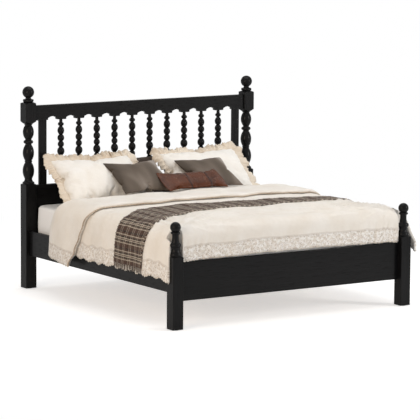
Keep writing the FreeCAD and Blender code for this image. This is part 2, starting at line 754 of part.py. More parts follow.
def rail_plate(across, end, face):
    """Plate let into a rail's end, with two hooks through the post's slots."""
    pieces = [
        slab_at_face(
            across, end, face, False,
            "hook_plate_width", "hook_plate_thickness", "hook_plate_height",
        )
    ]
    for lift in HOOK_LIFTS:
        pieces.append(
            slab_at_face(
                across, end, face, True, "hook_width", "hook_reach", "hook_height", lift=lift
            )
        )
        lip_start = signed(end, total("hook_plate_thickness", "hook_clearance"))
        pieces.append(
            slab_at_face(
                across, end, face, True,
                "hook_width",
                "(hook_reach - hook_plate_thickness - hook_clearance)",
                "(hook_height + hook_lip)",
                shift=lip_start,
                lift=less(lift, "hook_lip / 2"),
            )
        )
    return cut(fuse(pieces), plate_screws(across, end, face, False, PLATE_HOLE))


def plate_screws(across, end, face, into_post, sketch):
    """The two screws of one plate, or the holes for them."""
    toward = end if into_post else -end
    return [
        turned(
            sketch,
            (signed(across, RAIL_MIDDLE_X), face, total(RAIL_MIDDLE_Z, lift)),
            along(toward),
        )
        for lift in SCREW_LIFTS
    ]


def post_hook_cuts(across, end, face):
    """Seat of the plate, the pocket behind it and its screw holes."""
    return [
        slab_at_face(
            across, end, face, True,
            "hook_plate_width", "hook_plate_thickness", "hook_plate_height",
        ),
        slab_at_face(
            across, end, face, True,
            "(hook_width + 4 * hook_clearance)",
            "hook_pocket",
            "(hook_spacing + hook_height + 2 * hook_lip + 4 * hook_clearance)",
            lift="(-1 * hook_lip / 2)",
        ),
    ] + plate_screws(across, end, face, True, PLATE_HOLE)


def rail_hook_cuts(across, end, face):
    """Seat of the plate in a rail's end and its screw holes."""
    return [
        slab_at_face(
            across, end, face, False,
            "hook_plate_width", "hook_plate_thickness", "hook_plate_height",
        )
    ] + plate_screws(across, end, face, False, PLATE_HOLE)


# ---------------------------------------------------------------- tenons


def tenon(sign, half, middle_y, bottom, height, thickness="tenon_thickness", grow="0"):
    """A flat tenon beyond the end of a board, or its mortise where it grows."""
    length = "tenon_length" if grow == "0" else "(tenon_length + 2 * hole_spare)"
    start = half if sign > 0 else less(f"-1 * {half}", length)
    return box(
        (length, total(thickness, f"2 * {grow}"), total(height, f"2 * {grow}")),
        (start, less(middle_y, f"{thickness} / 2", grow), less(bottom, grow)),
    )


BOARD_TENONS = (
    ("crest", total(CREST_BOTTOM, "tenon_shoulder"), "(crest_height - 2 * tenon_shoulder)"),
    ("panel", total("panel_bottom", "tenon_shoulder"),
     less(PANEL_TOP, "panel_bottom", "2 * tenon_shoulder")),
)
FOOTBOARD_Y = total(FOOTBOARD_FRONT, "footboard_thickness / 2")
FOOT_TENON_BOTTOM = total("footboard_bottom", "tenon_shoulder")
FOOT_TENON_HEIGHT = less("footboard_top", "cap_height", "footboard_bottom", "2 * tenon_shoulder")


def head_post(side, sign):
    body = post_blank(f"head_{side}_timber", "head_post_width", HEAD_POST_TOP)
    doc.recompute()
    turn_down(body, f"head_{side}_turning", lifted(head_post_profile()))
    turn_down(body, f"head_{side}_finial", lifted(head_finial_profile()))
    place(body, signed(sign, POST_X), HEAD_POST_Y, "glide_thickness")
    mortises = [
        tenon(sign, BOARD_HALF, HEADBOARD_Y, bottom, height, grow="joint_gap")
        for name, bottom, height in BOARD_TENONS
    ]
    hooks = post_hook_cuts(sign, 1, HEAD_FACE_Y)
    return node(f"head_post_{side}", cut(body, mortises + hooks))


def foot_post(side, sign):
    body = post_blank(f"foot_{side}_timber", "foot_post_width", FOOT_POST_TOP)
    doc.recompute()
    turn_down(body, f"foot_{side}_turning", lifted(foot_post_profile()))
    place(body, signed(sign, POST_X), FOOT_POST_Y, "glide_thickness")
    mortise = tenon(
        sign, FOOTBOARD_HALF, FOOTBOARD_Y, FOOT_TENON_BOTTOM, FOOT_TENON_HEIGHT,
        grow="joint_gap",
    )
    hooks = post_hook_cuts(sign, -1, FOOT_FACE_Y)
    return node(f"foot_post_{side}", cut(body, [mortise] + hooks))


# ---------------------------------------------------------------- headboard

SPINDLE_LENGTH = less(CREST_BOTTOM, "sill_top")
STILE_OUTER = less(BOARD_HALF, "stile_gap")


SPINDLE_SPREAD = less(STILE_OUTER, "stile_width", "spindle_end_space")
SPINDLE_PITCH = f"(2 * {SPINDLE_SPREAD} / (spindle_count - 1))"


def spindle_places():
    return [f"(({number} - (spindle_count - 1) / 2) * {SPINDLE_PITCH})"
            for number in range(round(value("spindle_count")))]


def stile_start(sign):
    return less(STILE_OUTER, "stile_width") if sign > 0 else f"(-1 * {STILE_OUTER})"


def stile_mortise(sign, bottom):
    return box(
        ("(stile_width - 2 * tenon_shoulder + 2 * joint_gap)",
         "(stile_thickness - 2 * tenon_cheek + 2 * joint_gap)", "(pin_length + hole_spare)"),
        (total(stile_start(sign), "tenon_shoulder - joint_gap"),
         less(HEADBOARD_Y, "stile_thickness / 2 - tenon_cheek", "joint_gap"), bottom),
    )


def scallop_points(middle):
    """One scallop: a bowed crown between two S-shaped shoulders."""
    step = "((arch_foot - arch_crown) / 4)"
    rise = less("arch_depth", "arch_bow")
    half_rise = f"({rise} / 2)"
    chord = f"sqrt({step} * {step} + {half_rise} * {half_rise})"
    across = f"({chord} / 2)"
    up = f"({chord} * ({chord} - {step}) / {rise})"
    foot_left, foot_right = less(middle, "arch_foot / 2"), total(middle, "arch_foot / 2")
    crown_left, crown_right = less(middle, "arch_crown / 2"), total(middle, "arch_crown / 2")
    return [
        (foot_left, "0", total(foot_left, across), up),
        (foot_right, "0"),
        (total(crown_right, step), half_rise, less(foot_right, across), up),
        (crown_right, rise, total(crown_right, across), less(rise, up)),
        (crown_left, rise, middle, "arch_depth"),
        (less(crown_left, step), half_rise, less(crown_left, across), less(rise, up)),
    ]


def crest_rail():
    """Straight board with a row of scallops between the spindles."""
    body = doc.addObject("PartDesign::Body", "crest_timber")
    length = f"(2 * {BOARD_HALF})"
    face = body_sketch(
        body, "crest_face", "XZ_Plane",
        [("0", "0"), (length, "0"), (length, "crest_height"), ("0", "crest_height")],
    )
    board = body.newObject("PartDesign::Pad", "crest_board")
    board.Profile = face
    board.Midplane = True
    bind(board, "Length", "crest_thickness")
    first = less(BOARD_HALF, f"(spindle_count / 2) * {SPINDLE_PITCH}")
    scallop = body_sketch(body, "scallop", "XZ_Plane", scallop_points(first))
    sawn = body.newObject("PartDesign::Pocket", "scallop_cut")
    sawn.Profile = scallop
    sawn.Type = "ThroughAll"
    sawn.Midplane = True
    doc.recompute()
    row = body.newObject("PartDesign::LinearPattern", "scallop_row")
    row.Originals = [sawn]
    row.Direction = (scallop, ["H_Axis"])
    bind(row, "Length", f"spindle_count * {SPINDLE_PITCH}")
    bind(row, "Occurrences", "spindle_count + 1")
    body.Tip = row
    place(body, f"(-1 * {BOARD_HALF})", HEADBOARD_Y, CREST_BOTTOM)
    name, bottom, height = BOARD_TENONS[0]
    tenons = [tenon(sign, BOARD_HALF, HEADBOARD_Y, bottom, height) for side, sign in SIDES]
    holes = [pin_hole(x, CREST_BOTTOM, UPWARD) for x in spindle_places()]
    mortises = [stile_mortise(sign, CREST_BOTTOM) for side, sign in SIDES]
    return node("headboard_crest_rail", cut(fuse([body] + tenons), holes + mortises))


def pin_hole(x, mouth, rotation):
    """Blind hole for a spindle's pin."""
    return rod("pin_radius + joint_gap", "pin_length + hole_spare", (x, HEADBOARD_Y, mouth), rotation)


def sill_rail():
    """Moulded rail under the spindles, with rounded top edges, between the posts."""
    body = doc.addObject("PartDesign::Body", "sill_timber")
    half, bead = "sill_thickness / 2", "sill_bead_radius"
    soft = f"({bead} * 0.2929)"
    middle = "sill_thickness"
    section = body_sketch(
        body, "sill_section", "YZ_Plane",
        [
            (less(middle, half), "0"),
            (total(middle, half), "0"),
            (total(middle, half), less("sill_height", bead)),
            (less(total(middle, half), bead), "sill_height",
             less(total(middle, half), soft), less("sill_height", soft)),
            (total(less(middle, half), bead), "sill_height"),
            (less(middle, half), less("sill_height", bead),
             total(less(middle, half), soft), less("sill_height", soft)),
        ],
    )
    length = body.newObject("PartDesign::Pad", "sill_length")
    length.Profile = section
    length.Midplane = True
    bind(length, "Length", f"2 * {BOARD_HALF}")
    place(body, "0", less(HEADBOARD_Y, middle), PANEL_TOP)
    holes = [pin_hole(x, "sill_top", DOWNWARD) for x in spindle_places()]
    mortises = [stile_mortise(sign, less("sill_top", "pin_length + hole_spare")) for side, sign in SIDES]
    groove = box(
        (f"2 * {BOARD_HALF}", "(tenon_thickness + 2 * joint_gap)", "(sill_tongue + joint_gap)"),
        (f"-1 * {BOARD_HALF}", less(HEADBOARD_Y, "tenon_thickness / 2", "joint_gap"), PANEL_TOP),
    )
    return node("headboard_sill_rail", cut(body, holes + mortises + [groove]))


def headboard_panel():
    """Wide board from the sill rail down to the side rails' level, tenoned into both posts."""
    board = box(
        (f"2 * {BOARD_HALF}", "panel_thickness", less(PANEL_TOP, "panel_bottom")),
        (f"-1 * {BOARD_HALF}", PANEL_FRONT, "panel_bottom"),
    )
    tongue = box(
        (f"2 * {BOARD_HALF}", "tenon_thickness", "sill_tongue"),
        (f"-1 * {BOARD_HALF}", less(HEADBOARD_Y, "tenon_thickness / 2"), PANEL_TOP),
    )
    name, bottom, height = BOARD_TENONS[1]
    tenons = [tenon(sign, BOARD_HALF, HEADBOARD_Y, bottom, height) for side, sign in SIDES]
    holes = bracket_screws(1, PLATE_HOLE)
    return node("headboard_panel", cut(fuse([board, tongue] + tenons), holes))


def stile(side, sign):
    """Flat upright between sill rail and crest rail, beside the spindles."""
    upright = box(
        ("stile_width", "stile_thickness", SPINDLE_LENGTH),
        (stile_start(sign), less(HEADBOARD_Y, "stile_thickness / 2"), "sill_top"),
    )
    tongues = [
        box(
            ("(stile_width - 2 * tenon_shoulder)", "(stile_thickness - 2 * tenon_cheek)",
             "pin_length"),
            (total(stile_start(sign), "tenon_shoulder"),
             less(HEADBOARD_Y, "stile_thickness / 2 - tenon_cheek"), bottom),
        )
        for bottom in (CREST_BOTTOM, less("sill_top", "pin_length"))
    ]
    return node(f"headboard_stile_{side}", fuse([upright] + tongues))


def spindle_outline():
    """Half of a spindle: pins, end beads, three balls from each end and one in the middle."""
    forms = (
        ("spindle_neck_length", "spindle_neck_radius", None),
        ("spindle_bead_length", "spindle_waist_radius", "spindle_bead_radius"),
        ("spindle_waist_length", "spindle_waist_radius", None),
        ("outer_ball_length", "spindle_waist_radius", "outer_ball_radius"),
        ("second_ball_length", "spindle_waist_radius", "second_ball_radius"),
        ("third_ball_length", "spindle_waist_radius", "third_ball_radius"),
    )
    lower = [("0", "0"), ("pin_radius", "0"), ("pin_radius", "pin_length"),
             ("spindle_neck_radius", "pin_length")]
    height = "pin_length"
    for length, radius, bulge in forms:
        foot, height = height, total(height, length)
        if bulge:
            lower.append((radius, height, bulge, total(foot, f"{length} / 2")))
        else:
            lower.append((radius, height))
    top = total(SPINDLE_LENGTH, "2 * pin_length")
    middle = total("pin_length", f"{SPINDLE_LENGTH} / 2")
    upper = [("spindle_waist_radius", less(top, height), "centre_ball_radius", middle)]
    height = less(top, height)
    for length, radius, bulge in reversed(forms):
        foot, height = height, total(height, length)
        if bulge:
            upper.append((radius, height, bulge, total(foot, f"{length} / 2")))
        else:
            upper.append((radius, height))
    upper += [("pin_radius", less(top, "pin_length")), ("pin_radius", top), ("0", top)]
    return lower + upper


def spindles():
    shape = upright_sketch("spindle_profile", spindle_outline())
    for number, x in enumerate(spindle_places(), start=1):
        spindle = turned(shape, (x, HEADBOARD_Y, less("sill_top", "pin_length")))
        node(f"spindle_{number:02d}", spindle)


# ---------------------------------------------------------------- footboard


def footboard():
    """Wide board tenoned into the foot posts, with a tongue up into its cap."""
    half = FOOTBOARD_HALF
    top = less("footboard_top", "cap_height")
    board = box(
        (f"2 * {half}", "footboard_thickness", less(top, "footboard_bottom")),
        (f"-1 * {half}", FOOTBOARD_FRONT, "footboard_bottom"),
    )
    tongue = box(
        (f"2 * {half}", "(footboard_thickness / 2)", "cap_tongue"),
        (f"-1 * {half}", total(FOOTBOARD_FRONT, "footboard_thickness / 4"), top),
    )
    tenons = [
        tenon(sign, half, FOOTBOARD_Y, FOOT_TENON_BOTTOM, FOOT_TENON_HEIGHT)
        for side, sign in SIDES
    ]
    node("footboard_panel", cut(fuse([board, tongue] + tenons), bracket_screws(-1, PLATE_HOLE)))
    cap = box(
        (f"2 * {half}",
         "(footboard_thickness + cap_overhang + cap_inner_overhang)", "cap_height"),
        (f"-1 * {half}", less(FOOTBOARD_FRONT, "cap_overhang"), top),
    )
    rounded = doc.addObject("Part::Fillet", "cap_rounding")
    doc.recompute()
    rounded.Base = cap
    edges = [
        (number, value("cap_rounding"), value("cap_rounding"))
        for number, edge in enumerate(cap.Shape.Edges, start=1)
        if abs(edge.tangentAt(edge.FirstParameter).x) > 0.99
        and edge.CenterOfMass.z > cap.Shape.CenterOfMass.z
    ]
    rounded.Edges = edges
    groove = box(
        (f"2 * {half}", "(footboard_thickness / 2 + 2 * joint_gap)", "(cap_tongue + joint_gap)"),
        (f"-1 * {half}", less(total(FOOTBOARD_FRONT, "footboard_thickness / 4"), "joint_gap"), top),
    )
    node("footboard_cap", cut(rounded, [groove]))


# ---------------------------------------------------------------- rails and slats


def ledger_screw_places():
    count = round(value("ledger_screw_count"))
    reach = less(f"{POST_SPAN_ALONG} / 2", "ledger_end_gap", "head_post_width", "slat_width")
    return [f"({reach} * {2 * number / (count - 1) - 1:.6f})" for number in range(count)]


def ledger_screws(sign, sketch):
    """Screws from inside, through a ledger into its rail, or their holes."""
    turn = ALONG_X if sign > 0 else ALONG_X.inverted()
    height = less(SLAT_BOTTOM, "ledger_height / 2")
    start = signed(sign, less(RAIL_INNER, "ledger_thickness"))
    return [turned(sketch, (start, y, height), turn) for y in ledger_screw_places()]


def slat_places():
    """Middles of the slats along the bed, evenly spread over the mattress."""
    count = round(value("slat_count"))
    reach = "(mattress_length / 2 - slat_end_margin - slat_width / 2)"
    shares = [2 * number / (count - 1) - 1 for number in range(count)]
    return [total(MATTRESS_Y, f"{reach} * {share:.6f}") for share in shares]


def slat_screws(y, sketch):
    """A screw at each end of a slat, down into the ledgers, or their holes."""
    return [
        turned(
            sketch,
            (signed(sign, less(RAIL_INNER, "ledger_thickness / 2")), y, "slat_top"),
            DOWNWARD,
        )
        for side, sign in SIDES
    ]


def side_rails():
    length = less(HEAD_FACE_Y, FOOT_FACE_Y)
    for side, sign in SIDES:
        low = RAIL_INNER if sign > 0 else f"(-1 * {RAIL_OUTER})"
        board = box(
            ("side_rail_thickness", length, "side_rail_height"),
            (low, FOOT_FACE_Y, "side_rail_bottom"),
        )
        seats = rail_hook_cuts(sign, 1, HEAD_FACE_Y) + rail_hook_cuts(sign, -1, FOOT_FACE_Y)
        node(f"side_rail_{side}", cut(board, seats + ledger_screws(sign, TIMBER_HOLE)))
        inner = less(RAIL_INNER, "ledger_thickness") if sign > 0 else f"(-1 * {RAIL_INNER})"
        ledger = box(
            ("ledger_thickness", less(length, "2 * ledger_end_gap"), "ledger_height"),
            (inner, total(FOOT_FACE_Y, "ledger_end_gap"), less(SLAT_BOTTOM, "ledger_height")),
        )
        holes = ledger_screws(sign, TIMBER_HOLE)
        for y in slat_places():
            holes += slat_screws(y, TIMBER_HOLE)
        node(f"side_ledger_{side}", cut(ledger, holes))


def slats():
    half = less(RAIL_INNER, "slat_side_gap")
    for number, y in enumerate(slat_places(), start=1):
        board = box(
            (f"2 * {half}", "slat_width", "slat_thickness"),
            (f"-1 * {half}", less(y, "slat_width / 2"), SLAT_BOTTOM),
        )
        node(f"slat_{number:02d}", cut(board, slat_screws(y, TIMBER_HOLE)))


# ---------------------------------------------------------------- centre support

BEAM_HEAD = less(PANEL_FRONT, "bracket_sheet", "beam_end_gap")
BEAM_FOOT = total(FOOTBOARD_BACK, "bracket_sheet", "beam_end_gap")


def bracket_screws(end, sketch):
    """Four screws of a beam bracket into its board, or their holes."""
    turn = along(end)
    face = less(PANEL_FRONT, "bracket_sheet") if end > 0 else total(FOOTBOARD_BACK, "bracket_sheet")
    middle = "(beam_width / 2 + bracket_gap + bracket_sheet + bracket_flange / 2)"
    return [
        turned(
            sketch,
            (signed(sign, middle), face, total(BEAM_BOTTOM, f"beam_height * {level}")),
            turn,
        )
        for side, sign in SIDES
        for level in (0.25, 0.75)
    ]


def beam_bracket(end):
    """Steel cup on a board's face that carries an end of the centre beam."""
    sheet_metal, cheek = "bracket_sheet", "(beam_width / 2 + bracket_gap)"
    wall = less(PANEL_FRONT, sheet_metal) if end > 0 else FOOTBOARD_BACK
    reach = wall if end < 0 else less(PANEL_FRONT, "bracket_reach")
    wing = f"({cheek} + bracket_sheet + bracket_flange)"
    height = "beam_height + bracket_sheet"
    foot = less(BEAM_BOTTOM, sheet_metal)
    pieces = [
        box((f"2 * {wing}", sheet_metal, height), (f"-1 * {wing}", wall, foot)),
        box(
            (f"2 * {cheek} + 2 * bracket_sheet", "bracket_reach", sheet_metal),
            (f"-1 * ({cheek} + bracket_sheet)", reach, foot),
        ),
    ]
    for side, sign in SIDES:
        low = cheek if sign > 0 else f"(-1 * ({cheek} + bracket_sheet))"
        pieces.append(box((sheet_metal, "bracket_reach", height), (low, reach, foot)))
    return cut(fuse(pieces), bracket_screws(end, PLATE_HOLE))


def leg_bolt(gap):
    """Flat-headed bolt from the beam's top down into the leg, or its hole."""
    shank = rod(
        total("leg_bolt_radius", gap),
        total("beam_height", "leg_bolt_grip", gap),
        ("0", "0", SLAT_BOTTOM), DOWNWARD,
    )
    head = rod(
        total("leg_bolt_head_radius", gap), "leg_bolt_head", ("0", "0", SLAT_BOTTOM), DOWNWARD
    )
    return fuse([shank, head])


def centre_support():
    """Beam under the slats, and the one leg under its middle with a levelling foot."""
    beam = box(
        ("beam_width", less(BEAM_HEAD, BEAM_FOOT), "beam_height"),
        ("-1 * beam_width / 2", BEAM_FOOT, BEAM_BOTTOM),
    )
    node("centre_beam", cut(beam, [leg_bolt("hole_gap")]))
    node("beam_brackets", group([beam_bracket(1), beam_bracket(-1)]))
    floor_side = ("0", "0", "foot_pad_height")
    timber = box(
        ("leg_width", "leg_width", less(BEAM_BOTTOM, "foot_pad_height")),
        ("-1 * leg_width / 2", "-1 * leg_width / 2", "foot_pad_height"),
    )
    bore = rod(
        "foot_stem_radius + 3 * foot_fit", "foot_stem_length + foot_bore_spare", floor_side
    )
    seat = rod("insert_radius", "insert_length", floor_side)
    node("centre_leg", cut(timber, [bore, seat, leg_bolt("hole_gap")]))
    pad = rod("foot_pad_radius", "foot_pad_height", ("0", "0", "0"))
    stem = rod("foot_stem_radius", "foot_stem_length", floor_side)
    node("levelling_foot", fuse([pad, stem]))
    sleeve = rod("insert_radius", "insert_length", floor_side)
    thread = rod("foot_stem_radius + foot_fit", "insert_length", floor_side)
    node("leg_insert", cut(sleeve, [thread]))
    node("leg_bolt", leg_bolt("0"))


# ---------------------------------------------------------------- hardware


def hardware():
    ends = [(across, end, face) for side, across, end, face in rail_ends()]
    node("post_hook_plates", group([post_plate(*place_) for place_ in ends]))
    node("rail_hook_plates", group([rail_plate(*place_) for place_ in ends]))
    plate = []
    for across, end, face in ends:
        for into_post in (True, False):
            plate += plate_screws(across, end, face, into_post, PLATE_SCREW)
    for end in (1, -1):
        plate += bracket_screws(end, PLATE_SCREW)
    node("plate_screws", group(plate))
    timber = []
    for side, sign in SIDES:
        timber += ledger_screws(sign, TIMBER_SCREW)
    for y in slat_places():
        timber += slat_screws(y, TIMBER_SCREW)
    node("timber_screws", group(timber))
    glides = [
        rod("glide_radius", "glide_thickness", (signed(sign, POST_X), y, "0"))
        for side, sign in SIDES
        for y in (HEAD_POST_Y, FOOT_POST_Y)
    ]
    node("floor_glides", group(glides))


# ---------------------------------------------------------------- bedding

SOFT_TOP = value(total(MATTRESS_TOP, "soft_gap"))
DRAPE_INSIDE = value(total(RAIL_OUTER, "rail_clearance"))
DRAPE_FOOT_END = value(total(FOOT_FACE_Y, "post_clearance"))
DUVET_HEAD_EDGE = value(less(PANEL_FRONT, "duvet_head_space"))
DUVET_SIDE_EDGE = value(less(PANEL_FRONT, "duvet_side_space"))
DUVET_FOLD_HEM = value(less(PANEL_FRONT, "duvet_head_space", "duvet_fold_length"))


def form(label, shape):
    """A soft piece, whose shape is lofted from the sheet's sizes."""
    piece = doc.addObject("Part::Feature", label)
    piece.Shape = shape
    return node(label, piece)


def path(points):
    """Edges through (x, z) or (x, z, bow_x, bow_z) pairs, as for an outline."""
    edges = []
    for here, there in zip(points, points[1:]):
        if len(there) == 2:
            edges.append((here[:2], None, there))
        else:
            edges.append((here[:2], there[2:], there[:2]))
    return edges


def closed_wire(points, spot):
    """A closed wire of lines and arcs, its flat points put in space by spot."""
    edges = []
    for start, bow, end in path(points + points[:1]):
        if bow is None:
            edges.append(Part.LineSegment(spot(*start), spot(*end)).toShape())
        else:
            edges.append(Part.Arc(spot(*start), spot(*bow), spot(*end)).toShape())
    return Part.Wire(edges)


def mattress():
    block = box(
        ("mattress_width", "mattress_length", "mattress_depth"),
        ("-1 * mattress_width / 2", MATTRESS_FOOT, "slat_top"),
    )
    shape = block
    for name, radius, wanted in (
        ("mattress_corners", "mattress_corner", lambda edge: abs(edge.tangentAt(0).z) > 0.99),
        ("mattress_rims", "mattress_edge", lambda edge: edge.BoundBox.ZLength < 1e-6),
    ):
        doc.recompute()
        rounded = doc.addObject("Part::Fillet", name)
        rounded.Base = shape
        rounded.Edges = [
            (number, value(radius), value(radius))
            for number, edge in enumerate(shape.Shape.Edges, start=1)
            if wanted(edge)
        ]
        shape = rounded
    node("mattress", shape)


def fold_wave(place_):
    """Depth of the hanging folds at a place along a hem, from none to full."""
    return value("fold_depth") * 0.5 * (1 + math.sin(2 * math.pi * place_ / value("fold_pitch")))


def duvet_rise(y):
    """Thickness of the duvet on the mattress, with its turned-back part and rolled edge."""
    hem, edge, roll = DUVET_FOLD_HEM, DUVET_HEAD_EDGE, value("duvet_roll")
    rise = value("duvet_loft")
    if y > hem:
        rise += value("duvet_fold_loft")
    if y > edge - roll:
        rise *= 0.35 + 0.65 * math.sqrt(max(0.0, 1 - ((y - edge + roll) / roll) ** 2))
    return rise


def duvet_hem(y):
    """Height of the side hem, lower where the turned-back part hangs over it."""
    hem, edge = DUVET_FOLD_HEM, DUVET_SIDE_EDGE
    height = value("duvet_hem_height")
    if y > hem:
        share = (y - hem) / (edge - hem)
        height -= value("duvet_fold_drop") * (0.25 + 0.75 * math.sin(math.pi * min(1, share)))
    return height


def duvet_top(x, y):
    """Height of the duvet's crowned top at a place on the bed."""
    reach = DRAPE_INSIDE + value("duvet_drape") - value("duvet_shoulder")
    return SOFT_TOP + duvet_rise(y) + value("duvet_crown") * (1 - (x / reach) ** 2)


def drape_line(y, outward, hem, sign):
    """Outside of the duvet from a side hem up to its top edge, moved outward for the throw."""
    shoulder = value("duvet_shoulder")
    reach = DRAPE_INSIDE + value("duvet_drape") + outward
    low = reach + fold_wave(y)
    top = SOFT_TOP + duvet_rise(y) + outward
    bend = shoulder * math.sqrt(0.5)
    middle_x, middle_z = reach - shoulder, top - shoulder
    return [
        (sign * low, hem),
        (sign * reach, middle_z),
        (sign * middle_x, top, sign * (middle_x + bend), middle_z + bend),
    ]


def over_the_bed(y, outward, hem):
    """Outside line from the left hem over the crowned top to the right hem."""
    left, right = drape_line(y, outward, hem, -1), drape_line(y, outward, hem, 1)
    crown = SOFT_TOP + duvet_rise(y) + outward + value("duvet_crown")
    over = (right[2][0], right[2][1], 0.0, crown)
    down = (right[1][0], right[1][1], right[2][2], right[2][3])
    return left + [over, down, right[0]]


def backward(points):
    """The same line from its other end."""
    edges = path(points)
    line = [points[-1][:2]]
    for start, bow, end in reversed(edges):
        line.append(start if bow is None else start + tuple(bow))
    return line


def along_bed(y):
    return lambda x, z: FreeCAD.Vector(x, y, z)


def stations(low, high, extra=()):
    """Places along the bed, a quarter fold apart, with extra ones between."""
    step = value("fold_pitch") / 4
    first, last = math.ceil(low / step), math.floor(high / step)
    places = {low, high, *extra} | {step * number for number in range(first, last + 1)}
    chosen = []
    for y in sorted(places):
        if low <= y <= high and (not chosen or y - chosen[-1] > 4):
            chosen.append(y)
    chosen[-1] = high
    return chosen


def duvet_section(y):
    round_in = value("mattress_edge") * 2
    hem = duvet_hem(y)
    low, top = SOFT_TOP - round_in, SOFT_TOP
    flat = DRAPE_INSIDE - round_in
    bend = round_in * math.sqrt(0.5)
    under = [
        (DRAPE_INSIDE, hem),
        (DRAPE_INSIDE, low),
        (flat, top, flat + bend, low + bend),
        (-flat, top),
        (-DRAPE_INSIDE, low, -flat - bend, low + bend),
        (-DRAPE_INSIDE, hem),
    ]
    return closed_wire(over_the_bed(y, 0, hem) + under, along_bed(y))


def duvet_flap_section(y, sign):
    """Section of the folded part that hangs beside the pillows."""
    hem, wall = duvet_hem(y), value("duvet_drape")
    outer = drape_line(y, 0, hem, sign)
    bend_x, bend_z = outer[2][0], outer[1][1]
    round_in = value("duvet_shoulder") - wall
    bow = round_in * math.sqrt(0.5)
    inner = [
        (bend_x, outer[2][1] - wall),
        (bend_x + sign * round_in, bend_z, bend_x + sign * bow, bend_z + bow),
        (bend_x + sign * round_in, hem),
    ]
    return closed_wire(outer + inner, along_bed(y))


def duvet_foot_section(x):
    """Section of the part that hangs at the foot, between the foot posts."""
    inside = value(less(MATTRESS_FOOT, "rail_clearance"))
    hem, wall = value("duvet_foot_hem_height"), value("duvet_foot_thickness")
    buried = value("mattress_edge") / 10
    reach = inside - wall
    outer_round, inner_round = value("duvet_shoulder") * 0.7, value("mattress_edge")
    crown = value("duvet_crown") * (1 - (x / DRAPE_INSIDE) ** 2)
    top = SOFT_TOP + value("duvet_loft") + crown - buried
    under = SOFT_TOP + buried
    start = DRAPE_FOOT_END + value("duvet_shoulder")
    bend = math.sqrt(0.5)
    return closed_wire(
        [
            (reach - fold_wave(x), hem),
            (reach, top - outer_round),
            (reach + outer_round, top,
             reach + outer_round * (1 - bend), top - outer_round * (1 - bend)),
            (start, top),
            (start, under),
            (inside + inner_round, under),
            (inside, under - inner_round,
             inside + inner_round * (1 - bend), under - inner_round * (1 - bend)),
            (inside, hem),
        ],
        lambda y, z: FreeCAD.Vector(x, y, z),
    )


def duvet():
    """Filled cover over the mattress, turned back at the pillows, hanging on three sides."""
    hem, edge, roll = DUVET_FOLD_HEM, DUVET_HEAD_EDGE, value("duvet_roll")
    lip = value("duvet_fold_loft") / 3
    rolled = [edge - roll * share for share in (1, 0.85, 0.6, 0.35, 0.12, 0.03)]
    extra = (hem - lip / 2, hem + lip / 2, *rolled)
    places = stations(DRAPE_FOOT_END, edge, extra)
    over = Part.makeLoft([duvet_section(y) for y in places], True, True)
    half = value(less(FOOTBOARD_HALF, "post_clearance"))
    foot = Part.makeLoft([duvet_foot_section(x) for x in stations(-half, half)], True, True)
    flaps = [
        Part.makeLoft(
            [duvet_flap_section(y, sign) for y in stations(edge, DUVET_SIDE_EDGE)],
            True, True,
        )
        for side, sign in SIDES
    ]
    form("duvet", over.fuse([foot] + flaps))


def throw():
    """Woven cloth over the duvet, straight on top and askew at the left."""
    gap, thick = value("soft_gap"), value("throw_thickness")
    hem = value("throw_hem_height")
    head, foot = value("throw_top_head"), value("throw_hem_foot")
    wires = []
    for y in stations(foot - value("fold_pitch") / 4, head + value("fold_pitch") / 4):
        outside = over_the_bed(y, 2 * gap + thick, hem)
        inside = backward(over_the_bed(y, 2 * gap, hem))
        wires.append(closed_wire(outside + inside, along_bed(y)))
    band = Part.makeLoft(wires, True, True)
    bend, far = value("throw_bend"), DRAPE_INSIDE * 2
    near = DRAPE_INSIDE - value("duvet_drape")
    plan = [
        (-far, value("throw_hem_head")), (-near, value("throw_hem_head")),
        (-bend, head), (bend, value("throw_right_head")), (far, value("throw_right_head")),
        (far, value("throw_right_foot")), (bend, value("throw_right_foot")),
        (-bend, value("throw_top_foot")), (-near, foot), (-far, foot),
    ]
    corners = [FreeCAD.Vector(x, y, 0) for x, y in plan]
    cutter = Part.Face(Part.makePolygon(corners + corners[:1]))
    form("throw", band.common(cutter.extrude(FreeCAD.Vector(0, 0, 2 * SOFT_TOP))))


CUSHION_STATIONS = (-1, -0.96, -0.85, -0.6, -0.3, 0, 0.3, 0.6, 0.85, 0.96, 1)


def cushion(label, width, height, front, back, lean, centre, foot_y, on_duvet):
    """Crowned cushion with drawn-in edges, leaning back on its lower seam."""
    rim, pull = value("cushion_rim"), value("cushion_pull")
    angle = math.radians(lean)
    support = value(MATTRESS_TOP)
    if on_duvet:
        seam_y = foot_y + rim * math.sin(angle)
        support = max(duvet_top(centre + sign * width / 2, seam_y) for side, sign in SIDES)
    up = FreeCAD.Vector(0, math.cos(angle), math.sin(angle))
    out = FreeCAD.Vector(0, -math.sin(angle), math.cos(angle))
    foot = FreeCAD.Vector(centre, foot_y, support + value("soft_gap") + rim * math.cos(angle))
    wires = []
    for share in CUSHION_STATIONS:
        swell = (1 - share * share) ** 0.6
        inset = pull * (1 - share * share)
        low, high = inset, height - inset
        middle = height / 2
        x = share * width / 2

        def spot(rise, depth, x=x):
            return foot + FreeCAD.Vector(x, 0, 0) + up * rise + out * depth

        wires.append(
            closed_wire(
                [
                    (low, rim),
                    (high, rim, middle, rim + 1 + (front - rim) * swell),
                    (high, -rim),
                    (low, -rim, middle, -rim - 1 - (back - rim) * swell),
                ],
                spot,
            )
        )
    form(label, Part.makeLoft(wires, True, False))


